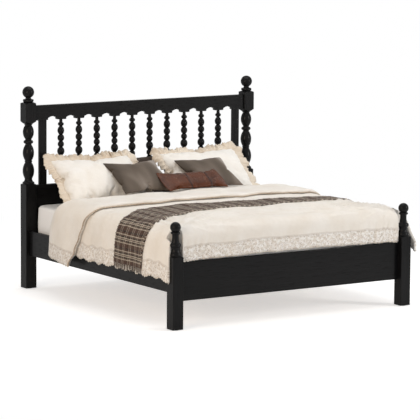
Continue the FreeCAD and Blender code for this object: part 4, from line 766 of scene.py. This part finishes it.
def rays_from(x, y, corner_x, seed):
    """Creases that run out from a corner of the bed."""
    dx, dy = x - corner_x, y + 1.0
    far = math.hypot(dx, dy)
    turn = math.atan2(dy, abs(dx) + 1e-6)
    crease = ridge(turn * 1.9, far * 0.55, seed, 0.30)
    return crease * smooth(0.03, 0.16, far) * (1 - smooth(0.35, 0.95, far))


def cover(across, along, lift=0.0, crinkle=1.0):
    """A place on the duvet: cloth lengths across and towards the head from the bed's middle."""
    sign = 1 if across >= 0 else -1
    out, down = rolled(abs(across), SIDE_OUT - SIDE_ROUND, SIDE_ROUND)
    back, drop = rolled(-along, FOOT_OUT - FOOT_ROUND, FOOT_ROUND) if along < 0 else (-along, 0.0)
    x, y = sign * out, -back
    top = REST + LOFT + CROWN * (1 - min(1.0, (x / 0.95) ** 2))
    puff = 0.009 * wobble(x, y, 1.3, 0.34) + 0.004 * wobble(x, y, 7.1, 0.13)
    crease = 0.0055 * ridge(x * 0.6 + y * 0.35, y * 1.25 - x * 0.2, 3.7, 0.16)
    crease += 0.0030 * ridge(x * 1.1, y * 0.8 + x * 0.4, 8.2, 0.075)
    rays = 0.021 * rays_from(x, y, 0.93, 2.0) + 0.013 * rays_from(x, y, -0.93, 5.5)
    hang_side = smooth(0.02, 0.30, down)
    hang_foot = smooth(0.02, 0.22, drop)
    loose = 1 - 0.75 * max(hang_side, hang_foot)
    z = top - down - drop + (puff + crinkle * (rays - crease)) * loose
    if down > 0:
        pitch = 0.255 + 0.04 * wobble(0.3, y, 0.9 * sign, 0.8)
        wave = 0.5 + 0.5 * math.sin(2 * math.pi * y / pitch + 1.1 * sign)
        wave *= 0.65 + 0.6 * wobble(2.0, y, 5.0 * sign, 0.5)
        small = 0.005 * ridge(1.0 + sign, y * 1.4, down * 0.35, 0.13)
        fine = 0.0024 * wobble(4.0, y * 1.5, z * 0.5 + sign, 0.05)
        corner = smooth(-0.70, -0.99, y) * (0.062 if sign > 0 else 0.006)
        wave *= 1 - 0.9 * smooth(-0.80, -0.98, y) * (sign < 0)
        x += sign * hang_side * (0.019 * wave + (fine - small) * crinkle + corner)
        x -= sign * 0.006 * smooth(0, 0.12, down) * (1 - hang_side)
        if sign > 0:
            z += 0.075 * smooth(-0.78, -1.03, y) * smooth(0.12, 0.36, down)
        hem_wave = 0.008 * math.sin(2 * math.pi * y / 0.13 + sign)
        hem_wave += 0.012 * wobble(3.0, y, sign, 0.24)
        z -= hang_side * hem_wave * max(0.0, 2 * crinkle - 1)
    if drop > 0:
        pitch = 0.19 + 0.03 * wobble(x, 0.4, 2.2, 0.7)
        wave = 0.5 + 0.5 * math.sin(2 * math.pi * x / pitch)
        wave *= 0.6 + 0.6 * wobble(x, 8.0, 1.0, 0.5)
        tight = smooth(0.35, 0.93, abs(x))
        fine = (0.005 + 0.009 * tight) * ridge(x * 1.5 + drop * 0.3, drop * 0.3, 6.0, 0.11)
        fine *= crinkle
        if down <= 0:
            y -= (0.011 * wave - fine) * hang_foot
            z += 0.005 * tight * wobble(x * 1.8, drop * 0.3, 2.5, 0.05) * (1 - hang_foot)
            z += 0.004 * hang_foot * wobble(x, 1.0, 3.0, 0.06)
    if lift:
        nx = sign * math.sin(min(1.0, down / SIDE_ROUND) * math.pi / 2) if down > 0 else 0.0
        ny = -math.sin(min(1.0, drop / FOOT_ROUND) * math.pi / 2) if drop > 0 else 0.0
        nz = math.sqrt(max(0.0, 1 - nx * nx - ny * ny))
        x, y, z = x + nx * lift, y + ny * lift, z + nz * lift
    return Vector((x, y, z))


def make_corner(label, sign):
    """The tuck that the duvet makes behind a foot post, between its side and its foot."""
    down = REST + LOFT - CORNER_LOW
    side_end = length_to_drop(down, SIDE_OUT, SIDE_ROUND)
    foot_end = length_to_drop(down, FOOT_OUT, FOOT_ROUND)
    tuck = cover(sign * POST_GAP_X, -POST_GAP_Y)

    def place(u, v):
        side = cover(sign * mix(POST_GAP_X, side_end, v), -POST_GAP_Y)
        foot = cover(sign * POST_GAP_X, -mix(POST_GAP_Y, foot_end, v))
        inner = Vector((tuck.x, tuck.y, (side.z + foot.z) / 2))
        ripple = 0.005 * ridge(u * 2.2, v * 1.4, sign, 0.5) * u * (1 - u) * 4
        point = side * (1 - u) ** 2 + inner * (2 * u * (1 - u)) + foot * (u * u)
        return point + Vector((-sign * ripple, ripple, 0))

    bm = flat_grid(24, 30)
    drape(bm, place, lambda u, v: (u * 0.2, v * 0.3 + 7))
    bmesh.ops.remove_doubles(bm, verts=bm.verts, dist=0.0001)
    face_up(bm, Vector((sign, -1, 1)))
    piece = finished(f"duvet_corner_{label}", bm, DUVET_COTTON)
    thicken(piece, 0.010)


def make_duvet():
    """Under layer: over the top, down both sides and the foot, cut away round the foot posts."""
    top = REST + LOFT
    reach = length_to_drop(top - SIDE_HEM, SIDE_OUT, SIDE_ROUND)
    foot_reach = length_to_drop(top - FOOT_HEM, FOOT_OUT, FOOT_ROUND)
    head = 0.42
    bm = flat_grid(290, 168)
    bmesh.ops.scale(bm, vec=(2 * reach, head + foot_reach, 1), verts=bm.verts)
    bmesh.ops.translate(bm, vec=(-reach, -foot_reach, 0), verts=bm.verts)
    for x in (-POST_PASS, -POST_GAP_X, POST_GAP_X, POST_PASS):
        slice_at(bm, (x, 0, 0), (1, 0, 0), 0.0005)
    for y in (POST_GAP_Y, POST_PAST):
        slice_at(bm, (0, -y, 0), (0, 1, 0), 0.0005)
    cut_away = []
    for face in bm.faces:
        middle = face.calc_center_median()
        beside = abs(middle.x) > POST_PASS and middle.y > -POST_PAST
        if abs(middle.x) > POST_GAP_X and middle.y < -POST_GAP_Y and not beside:
            cut_away.append(face)
    bmesh.ops.delete(bm, geom=cut_away, context="FACES")

    def lace(a, b):
        side = (abs(a) - (reach - 0.105)) / 0.21 + 0.5
        foot = (-b - (foot_reach - 0.095)) / 0.19 + 0.5
        return max(0.0, side if abs(a) > 0.95 else 0.0, foot if b < -0.95 else 0.0)

    drape(bm, cover, lambda a, b: (a, b), lace)
    face_up(bm, Vector((0, 0, 1)))
    piece = finished("duvet_under", bm, DUVET_COTTON)
    thicken(piece, 0.024)
    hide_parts("duvet")
    make_corner("left", -1)
    make_corner("right", 1)
    return reach, foot_reach


FOLD_HEM_LINE = (
    (0.0, FOLD_HEM), (0.90, FOLD_HEM), (1.00, 0.062), (1.10, 0.090), (1.20, 0.130), (1.31, 0.205),
    (1.42, 0.290),
)
FOLD_HEAD_LINE = ((0.0, FOLD_HEAD), (0.93, FOLD_HEAD), (1.05, 0.585), (1.20, 0.625), (1.42, 0.640))


def fold_reach(v):
    """Cloth length from the middle to the side edge of the turned-back part."""
    return length_to_drop(REST + LOFT + FOLD_LIFT - mix(*FOLD_LOW, v), SIDE_OUT, SIDE_ROUND)


def fold_place(s, v):
    """A place on the turned-back part: s from side to side, v from its hem to the head."""
    across = s * fold_reach(v)
    (hem,) = along_table(FOLD_HEM_LINE, abs(across))
    (head,) = along_table(FOLD_HEAD_LINE, abs(across))
    hem += 0.006 * wobble(across, 0.2, 3.0, 0.3)
    y = mix(hem, head, v)
    point = cover(across, y, FOLD_LIFT + 0.006 * wobble(across, y, 9.0, 0.2), 0.6)
    hanging = smooth(0.93, 1.12, abs(across))
    lip = 1 - smooth(0.0, 0.030, y - hem)
    point.z -= 0.008 * lip * lip * (1 - hanging)
    roll = 0.12
    share = min(1.0, max(0.0, (y - (head - roll)) / roll))
    sink = (1 - math.sqrt(max(0.0, 1 - share * share))) * (LOFT + FOLD_LIFT - 0.012)
    point.z -= sink * (1 - hanging)
    inward = 0.040 * share * share * hanging
    point.x -= math.copysign(inward, across)
    return point


def make_fold():
    """Upper layer: the head end turned back over the bed, hanging lower at the sides."""
    bm = flat_grid(210, 46)

    def lace(s, v):
        reach = fold_reach(v)
        return max(0.0, (abs(s * 2 - 1) * reach - (reach - 0.100)) / 0.20 + 0.5)

    drape(bm, lambda s, v: fold_place(s * 2 - 1, v), lambda s, v: (s * 2.8, v * 0.5 + 3), lace)
    face_up(bm, Vector((0, 0, 1)))
    piece = finished("duvet_fold", bm, DUVET_COTTON)
    thicken(piece, 0.022)


def scalloped_edge(name, line, away, depth=0.011, material=LACE_EDGE):
    """A row of small lace scallops; line and away give its place and direction from 0 to 1."""
    parts = 60
    length = sum((line((i + 1) / parts) - line(i / parts)).length for i in range(parts))
    count = max(4, round(length / SCALLOP_PITCH))
    bm = flat_grid(count * 6, 2)

    def place(x, y):
        bow = abs(math.sin(math.pi * x * count)) ** 0.6
        return line(x) + away(x) * (-0.004 + y * (0.006 + depth * bow))

    drape(bm, place, lambda x, y: (x * length, y * 0.02))
    piece = finished(name, bm, material)
    thicken(piece, 0.0025, 0.0)


def lace_edges(reach, foot_reach):
    down = Vector((0, 0, -1))
    foot = -POST_PAST + 0.004
    for label, sign in (("left", -1), ("right", 1)):
        inward = Vector((sign * 0.010, 0, 0))
        scalloped_edge(
            f"lace_edge_{label}", lambda t: cover(sign * reach, mix(foot, 0.40, t)) - inward,
            lambda t: down,
        )
        scalloped_edge(
            f"lace_edge_fold_{label}", lambda t: fold_place(sign, t) - inward, lambda t: down
        )
    scalloped_edge(
        "lace_edge_foot",
        lambda t: cover(mix(-POST_GAP_X, POST_GAP_X, t), -foot_reach) + Vector((0, 0.008, 0)),
        lambda t: Vector((0, -0.75, -0.5)),
    )

    def hem_away(t):
        here = fold_place(t * 2 - 1, 0.0)
        inner = fold_place(t * 2 - 1, 0.04)
        return (here - inner).normalized()

    def hem_line(t):
        sink = 0.012 * (1 - smooth(0.33, 0.38, abs(t - 0.5)))
        return fold_place(t * 2 - 1, 0.0) - Vector((0, 0, sink))

    # The hem's scallops take the dark brown of the painted shadow under the hem.
    scalloped_edge("lace_edge_fold_hem", hem_line, hem_away, depth=0.006, material=HEM_SHADOW_LINE)


THROW_LIFT = 0.0075
THROW_HEM = 0.392
THROW_WIDE = 0.40         # flat width, as at its hanging end
THROW_EDGES = (
    (-1.40, -0.700, -0.310), (-1.20, -0.715, -0.325), (-1.05, -0.750, -0.350),
    (-0.95, -0.730, -0.335), (-0.85, -0.655, -0.255), (-0.74, -0.565, -0.155),
    (-0.62, -0.500, -0.110), (-0.40, -0.440, -0.120), (0.0, -0.412, -0.155),
    (0.60, -0.402, -0.196), (1.00, -0.402, -0.205), (1.40, -0.405, -0.200),
)


def throw_reach():
    return length_to_drop(REST + LOFT - THROW_HEM, SIDE_OUT, SIDE_ROUND)


def throw_place(s, w, lift=THROW_LIFT):
    """A place on the throw: s from the left hem to the right hem, w from its foot side."""
    across = s * throw_reach()
    foot, head = along_table(THROW_EDGES, across)
    y = mix(foot, head, w)
    y += 0.006 * wobble(across, w, 4.0, 0.18)
    point = cover(across, y, lift, 0.5)
    hanging = smooth(1.05, 1.25, abs(across))
    ripple = 0.004 * wobble(across * 0.4, y * 1.6, 2.0, 0.09) * hanging
    point.x += math.copysign(abs(ripple), across)
    return point


def strand(bm, start, drop, radius, sway):
    """One strand of the fringe, hanging from start and swaying more towards its end."""
    rings = 4
    made = bmesh.ops.create_circle(bm, segments=6, radius=radius, cap_ends=True)
    ring = made["verts"]
    bmesh.ops.translate(bm, verts=ring, vec=start)
    face = ring[0].link_faces[0]
    edge = Vector((0, 0, 0))
    for step in range(rings):
        made = bmesh.ops.extrude_face_region(bm, geom=[face])
        verts = [v for v in made["geom"] if isinstance(v, bmesh.types.BMVert)]
        face = next(f for f in made["geom"] if isinstance(f, bmesh.types.BMFace))
        turn = (step + 1) / rings
        shift = sway * (turn * turn) - edge + Vector((0, 0, -drop / rings))
        edge = sway * (turn * turn)
        bmesh.ops.translate(bm, verts=verts, vec=shift)


def make_fringe(material):
    """Bundles of strands along both hems of the throw."""
    bm = bmesh.new()
    bundles, strands = 13, 5
    for sign in (-1, 1):
        for bundle in range(bundles):
            for number in range(strands):
                off = number - strands // 2
                w = (bundle + 0.5) / bundles + off * 0.012
                start = throw_place(sign, w) + Vector((-sign * 0.002, 0, 0.004))
                gather = Vector((
                    sign * 0.004 * wobble(bundle, number, 1.0, 0.7),
                    -off * 0.0030 + 0.010 * wobble(bundle, number, 8.0, 0.9), 0,
                ))
                drop = 0.046 + 0.006 * wobble(bundle, number, 3.0, 0.8)
                strand(bm, start, drop, 0.0017, gather)
    bmesh.ops.recalc_face_normals(bm, faces=bm.faces)
    return finished("throw_fringe", bm, material)


def make_knots(materials):
    """Small knots of two yarns in turn along both long edges of the throw."""
    bm = bmesh.new()
    count, reach = 118, 0.985
    for w in (0.0, 1.0):
        for number in range(count):
            s = -reach + 2 * reach * (number + 0.5) / count
            size = 1 + 0.25 * wobble(number, w, 2.0, 0.7)
            place = Matrix.Translation(throw_place(s, w, THROW_LIFT - 0.003))
            made = bmesh.ops.create_icosphere(
                bm, subdivisions=1, radius=0.0078 * size,
                matrix=place @ Matrix.Diagonal((1.1, 1.0, 0.75, 1)),
            )
            for face in {face for vert in made["verts"] for face in vert.link_faces}:
                face.material_index = number % 2
    return finished("throw_edge_knots", bm, materials)


def make_throw():
    dark = yarn("dark_yarn", (0.02, 0.015, 0.013), (0.10, 0.07, 0.055), (0.5, 0.45, 0.38))
    pale = yarn("pale_yarn", (0.30, 0.25, 0.20), (0.55, 0.49, 0.42), (0.70, 0.65, 0.57))
    bm = flat_grid(220, 34)
    drape(
        bm, lambda s, w: throw_place(s * 2 - 1, w),
        lambda s, w: (w * THROW_WIDE, s * 2 * throw_reach()),
    )
    face_up(bm, Vector((0, 0, 1)))
    piece = finished("throw_cloth", bm, woven_plaid())
    thicken(piece, 0.006)
    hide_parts("throw")
    make_fringe(dark)
    make_knots([dark, pale])


# ---------------------------------------------------------------- cushions

CUSHION_CLOTH = {
    "use_pressure": True, "quality": 6, "mass": 0.3, "tension_stiffness": 25,
    "compression_stiffness": 25, "shear_stiffness": 8, "bending_stiffness": 0.4, "air_damping": 4,
}
INFLATION_FRAMES = 25


def blown_up(bm, puff):
    """A closed bag after its cloth simulation."""
    bag = placed("bag", mesh_of("bag", bm))
    cloth = bag.modifiers.new("cloth", "CLOTH")
    for key, setting in CUSHION_CLOTH.items():
        setattr(cloth.settings, key, setting)
    cloth.settings.uniform_pressure_force = puff
    cloth.settings.effector_weights.gravity = 0
    cloth.collision_settings.use_collision = False
    for number in range(1, INFLATION_FRAMES + 1):
        scene.frame_set(number)
    shape = evaluated_mesh(bag)
    scene.frame_set(1)
    bm = bmesh.new()
    bm.from_mesh(shape)
    return bm

def stuffed_bag(width, height, thickness, puff, cell=0.012, bow=0.045):
    """A sewn bag of two sheets, blown up like a cushion, as a bmesh lying flat round the origin."""
    columns, rows = round(width / cell), round(height / cell)
    bm = bmesh.new()
    uv = bm.loops.layers.uv.new("cloth")
    seam = bm.verts.layers.float.new("seam")
    for side in (1, -1):
        made = bmesh.ops.create_grid(bm, x_segments=columns, y_segments=rows, size=0.5)
        for vert in made["verts"]:
            x, y = vert.co.x * 2, vert.co.y * 2
            vert[seam] = float(max(abs(x), abs(y)) > 0.999)
            swell = max(0.0, (1 - x * x) * (1 - y * y)) ** 0.5
            vert.co = Vector((
                x * width / 2 * (1 + bow * (1 - y * y)), y * height / 2 * (1 + bow * (1 - x * x)),
                side * thickness * 0.25 * swell,
            ))
        if side < 0:
            faces = {face for vert in made["verts"] for face in vert.link_faces}
            bmesh.ops.reverse_faces(bm, faces=list(faces))
    bmesh.ops.remove_doubles(bm, verts=bm.verts, dist=0.0002)
    for face in bm.faces:
        for loop in face.loops:
            loop[uv].uv = (loop.vert.co.x, loop.vert.co.y)
    bm = blown_up(bm, puff)
    extent = [
        (min(v.co[axis] for v in bm.verts), max(v.co[axis] for v in bm.verts)) for axis in range(3)
    ]
    for vert in bm.verts:
        for axis, size in enumerate((width, height, thickness)):
            low, high = extent[axis]
            vert.co[axis] = ((vert.co[axis] - low) / (high - low) - 0.5) * size
    return bm


def seam_of(bm):
    """A function from 0 to 1 round the seam of a bag: the place and the way out, and its length."""
    seam = bm.verts.layers.float["seam"]
    spots = sorted(
        (v.co.copy() for v in bm.verts if v[seam] > 0.5),
        key=lambda spot: math.atan2(spot.y, spot.x),
    )
    spots.append(spots[0])
    lengths = [0.0]
    for here, there in zip(spots, spots[1:]):
        lengths.append(lengths[-1] + (there - here).length)
    total = lengths[-1]

    def spot_at(t):
        want = (t % 1.0) * total
        index = min(bisect.bisect_right(lengths, want), len(lengths) - 1)
        share = (want - lengths[index - 1]) / max(1e-9, lengths[index] - lengths[index - 1])
        return spots[index - 1].lerp(spots[index], share)

    def on_seam(t):
        along = (spot_at(t + 0.016) - spot_at(t - 0.016)).normalized()
        return spot_at(t), Vector((along.y, -along.x, 0))

    return on_seam, total


def leaning(node, lean):
    """Where a cushion's own middle lies and how it is turned, from its CAD solid."""
    low, high = (Vector(corner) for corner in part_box(node))
    turn = Matrix.Rotation(math.radians(lean), 4, "X")
    return Matrix.Translation((low + high) / 2) @ turn


def bed_height(x, y):
    """Top of the bedding under the cushions."""
    if y > FOLD_HEAD - 0.01:
        return REST + 0.001
    share = min(1.0, max(0.0, (y - (FOLD_HEAD - 0.12)) / 0.12))
    height = cover(x, y, 0.037).z - REST
    return REST + 0.001 + (height - 0.012) * math.sqrt(max(0.0, 1 - share * share)) + 0.010


def settle(bm, place):
    """Bring a piece to its place and flatten what would sink into the bed."""
    bmesh.ops.transform(bm, matrix=place, verts=bm.verts)
    for vert in bm.verts:
        floor = bed_height(vert.co.x, vert.co.y)
        if vert.co.z < floor:
            vert.co.z = floor + 0.0004 * math.sin(vert.co.x * 200)


def laid_cushion(bm, place, name, node, material):
    """A bag in its place on the bed, as the finished piece for a CAD node."""
    settle(bm, place)
    piece = finished(name, bm, material)
    subdivide(piece, 1)
    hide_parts(node)


# The fullness is what the gathers as modelled hold, not a measured length of strip.
SHAM_WIDTH, SHAM_HEIGHT, SHAM_THICKNESS, RUFFLE_DEPTH = 0.690, 0.450, 0.190, 0.082


def make_sham(label, node, lean):
    """Full pillow in a case gathered into a lace-edged ruffle all round."""
    place = leaning(node, lean)
    width, height, ruffle = SHAM_WIDTH, SHAM_HEIGHT, RUFFLE_DEPTH
    seed = 1.7 if label == "left" else 6.3
    bm = stuffed_bag(width, height, SHAM_THICKNESS, 9.0, bow=0.085)
    on_seam, total = seam_of(bm)
    for vert in bm.verts:
        slump = 0.012 * wobble(vert.co.x, vert.co.y, seed, 0.22)
        inset_x, inset_y = width / 2 - abs(vert.co.x), height / 2 - abs(vert.co.y)
        inset, along = (inset_x, vert.co.y) if inset_x < inset_y else (inset_y, vert.co.x)
        pleat = math.sin(2 * math.pi * along / 0.058 + 5 * wobble(along, seed, inset, 0.12))
        pleat *= 0.0075 * math.exp(-max(0.0, inset) / 0.055) * smooth(0.0, 0.012, inset)
        crease = 0.009 * ridge(vert.co.x, vert.co.y * 1.6 + vert.co.x * 0.5, seed, 0.17)
        front = 1 if vert.co.z > 0 else -1
        vert.co.z += slump * (1 - (2 * vert.co.x / width) ** 2)
        vert.co.z += front * (pleat - crease * smooth(0.02, 0.10, inset))
    laid_cushion(
        bm, place, f"sham_{label}_body", node, SHAM_COTTON
    )

    def ruffle_place(t, r):
        spot, out = on_seam(t)
        along = t * total
        gathers = math.sin(2 * math.pi * along / 0.036 + 3.4 * wobble(along, seed, 0, 0.13))
        gathers += 0.6 * math.sin(2 * math.pi * along / 0.061 + seed)
        deep = max(0.2, 0.75 + 0.7 * wobble(along, seed, 3.0, 0.2))
        reach = ruffle * (0.90 + 0.34 * wobble(along, seed, 5.0, 0.10))
        edge = 0.004 * abs(math.sin(math.pi * along / 0.015)) * smooth(0.7, 1.0, r)
        curl = 0.022 * wobble(along, seed, 9.0, 0.14) * r * r
        sway = 0.010 * wobble(along, seed, 14.0, 0.06) * r
        lift = 0.012 * gathers * deep * r ** 1.1 + 0.016 * math.sin(math.pi * r) * deep + curl
        across = Vector((out.y, -out.x, 0))
        return spot + out * (r * reach + edge - 0.012) + across * sway + Vector((0, 0, lift))

    bm = flat_grid(round(total / 0.0050), 9)
    drape(bm, ruffle_place, lambda t, r: (t * total * 1.6, r * ruffle))
    bmesh.ops.remove_doubles(bm, verts=bm.verts, dist=0.0001)
    settle(bm, place)
    # The ruffle's tan cotton is painted shade.
    frill = finished(f"sham_{label}_ruffle", bm, RUFFLE_PAINTED_SHADE)
    thicken(frill, 0.0022, 0.0)


def make_square_cushion(name, node, lean, size, puff, material):
    bm = stuffed_bag(*size, puff)
    for vert in bm.verts:
        vert.co.z += 0.006 * wobble(vert.co.x, vert.co.y, len(name) * 1.3, 0.16)
    laid_cushion(bm, leaning(node, lean), name, node, material)


LUMBAR_SIZE = (0.555, 0.250, 0.060)
LUMBAR_SEAMS = (-0.045, 0.135)


def make_lumbar():
    """Long leather cushion with two raised cross seams."""
    bm = stuffed_bag(*LUMBAR_SIZE, 9.0, cell=0.0095)
    mark = bm.verts.layers.float.new("lace")
    for vert in bm.verts:
        for seam in LUMBAR_SEAMS:
            gap = abs(vert.co.x - seam - 0.004 * math.sin(vert.co.y * 22))
            pull = 1 - smooth(0.0, 0.022, gap)
            vert.co.z *= 1 - 0.30 * pull
            vert[mark] = max(vert[mark], 1 - smooth(0.0, 0.010, gap))
        vert.co.z += 0.004 * wobble(vert.co.x, vert.co.y, 3.0, 0.07)
    node = "lumbar_cushion"
    laid_cushion(bm, leaning(node, 30), "lumbar_leather", node, leather())


make_mattress()
side_reach, foot_length = make_duvet()
make_fold()
lace_edges(side_reach, foot_length)
make_throw()
for side in ("left", "right"):
    make_sham(side, f"sham_{side}", 42)
PILE = velvet()
for name, node, lean, size, puff, finish, slot in (
    ("velvet_left", "velvet_cushion_left", 31, (0.462, 0.395, 0.080), 9.0, PILE, "taupe_velvet"),
    ("velvet_right", "velvet_cushion_right", 29, (0.440, 0.385, 0.080), 9.0, PILE, "taupe_velvet"),
    ("rear_brown", "rear_cushion", 66, (0.360, 0.360, 0.040), 6.0, dark_cloth(),
     "dark_brown_cloth"),
):
    make_square_cushion(name, node, lean, size, puff, finish)
make_lumbar()


# ---------------------------------------------------------------- floor, light and camera

FLOOR_GLOW = 0.52
FLOOR_FADE = 2.6, 4.5     # from the bed's middle, where the floor turns white
WORLD_LIGHT = 0.42


def seen_by_camera(tree, mirrored):
    """1 on rays from the camera or through glass, and mirrored on rays off shiny faces."""
    rays = add(tree, "ShaderNodeLightPath").outputs
    seen = maths(tree, "MAXIMUM", rays["Is Camera Ray"], rays["Is Transmission Ray"])
    glossy = maths(tree, "MULTIPLY", rays["Is Glossy Ray"], mirrored)
    return maths(tree, "MAXIMUM", seen, glossy)


def mix_shaders(tree, factor, first, second):
    links = [("Fac", factor), (1, first.outputs[0]), (2, second.outputs[0])]
    return add(tree, "ShaderNodeMixShader", links)


def make_floor():
    bm = bmesh.new()
    bmesh.ops.create_grid(bm, x_segments=2, y_segments=2, size=30)
    mesh = mesh_of("floor", bm)
    floor = placed("floor", mesh)
    floor.location.z = -0.0005
    material, tree, shader = new_material(
        "pale_floor", Base_Color=(0.80, 0.80, 0.80, 1), Roughness=0.9, Specular_IOR_Level=0.1
    )
    glow = add(tree, "ShaderNodeEmission", [("Strength", FLOOR_GLOW)])
    near = add(tree, "ShaderNodeAddShader", [(0, shader.outputs[0]), (1, glow.outputs[0])])
    white = add(tree, "ShaderNodeEmission", [("Strength", 1.0)])
    place = add(tree, "ShaderNodeTexCoord").outputs["Object"]
    away = add(tree, "ShaderNodeVectorMath", [(0, place)], operation="LENGTH").outputs["Value"]
    away = spread(tree, away, *FLOOR_FADE, interpolation_type="SMOOTHSTEP")
    backdrop = mix_shaders(tree, away, near, white)
    choose = mix_shaders(tree, seen_by_camera(tree, 1.0), shader, backdrop)
    wire(tree.nodes["Material Output"], Surface=choose.outputs[0])
    mesh.materials.append(material)


def make_world():
    world = bpy.data.worlds.new("studio")
    scene.world = world
    world.use_nodes = True
    tree = world.node_tree
    plain = tree.nodes["Background"]
    wire(plain, Color=(0.97, 0.97, 0.98, 1), Strength=WORLD_LIGHT)
    white = add(tree, "ShaderNodeBackground", [("Color", (1, 1, 1, 1)), ("Strength", 1.0)])
    choose = mix_shaders(tree, seen_by_camera(tree, 0.6), plain, white)
    wire(tree.nodes["World Output"], Surface=choose.outputs[0])


def lamp(name, place, aim, size, power, color):
    light = bpy.data.lights.new(name, "AREA")
    light.shape = "RECTANGLE"
    light.size, light.size_y = size
    light.energy = power
    light.color = color
    holder = placed(name, light)
    holder.location = place
    holder.rotation_euler = (Vector(aim) - Vector(place)).to_track_quat("-Z", "Y").to_euler()


CAMERA_PLACE = (-10.8873, -16.6086, 3.3577)
CAMERA_TURN = 0.5792, 0.1354, 0.0071      # yaw, pitch and roll, in radians
SENSOR = 36                               # mm
FOCAL_PIXELS, PICTURE_PIXELS = 2684.87, 420


def make_camera():
    yaw, pitch, roll = CAMERA_TURN
    ahead = Vector((
        math.sin(yaw) * math.cos(pitch), math.cos(yaw) * math.cos(pitch), -math.sin(pitch)
    ))
    right = Vector((math.cos(yaw), -math.sin(yaw), 0))
    up = right.cross(ahead)
    tilted_right = right * math.cos(roll) + up * math.sin(roll)
    tilted_up = up * math.cos(roll) - right * math.sin(roll)
    eye = bpy.data.cameras.new("photo_view")
    eye.sensor_width = SENSOR
    eye.lens = SENSOR * FOCAL_PIXELS / PICTURE_PIXELS
    eye.clip_start, eye.clip_end = 0.1, 200
    holder = placed("photo_view", eye)
    turn = Matrix((tilted_right, tilted_up, -ahead)).transposed().to_4x4()
    holder.matrix_world = Matrix.Translation(CAMERA_PLACE) @ turn
    scene.camera = holder


make_floor()
make_world()
lamp("key", (5.2, -5.6, 2.6), (0.0, 0.0, 0.6), (1.6, 2.4), 245, (1.0, 0.975, 0.945))
lamp("overhead", (0.2, 0.2, 5.2), (0.0, 0.0, 0.5), (4.5, 4.5), 136, (1.0, 0.985, 0.965))
lamp("side_fill", (-6.0, -2.5, 2.0), (0.0, 0.0, 0.6), (3.0, 3.0), 140, (1.0, 0.81, 0.62))
make_camera()
scene.view_settings.view_transform = "Standard"
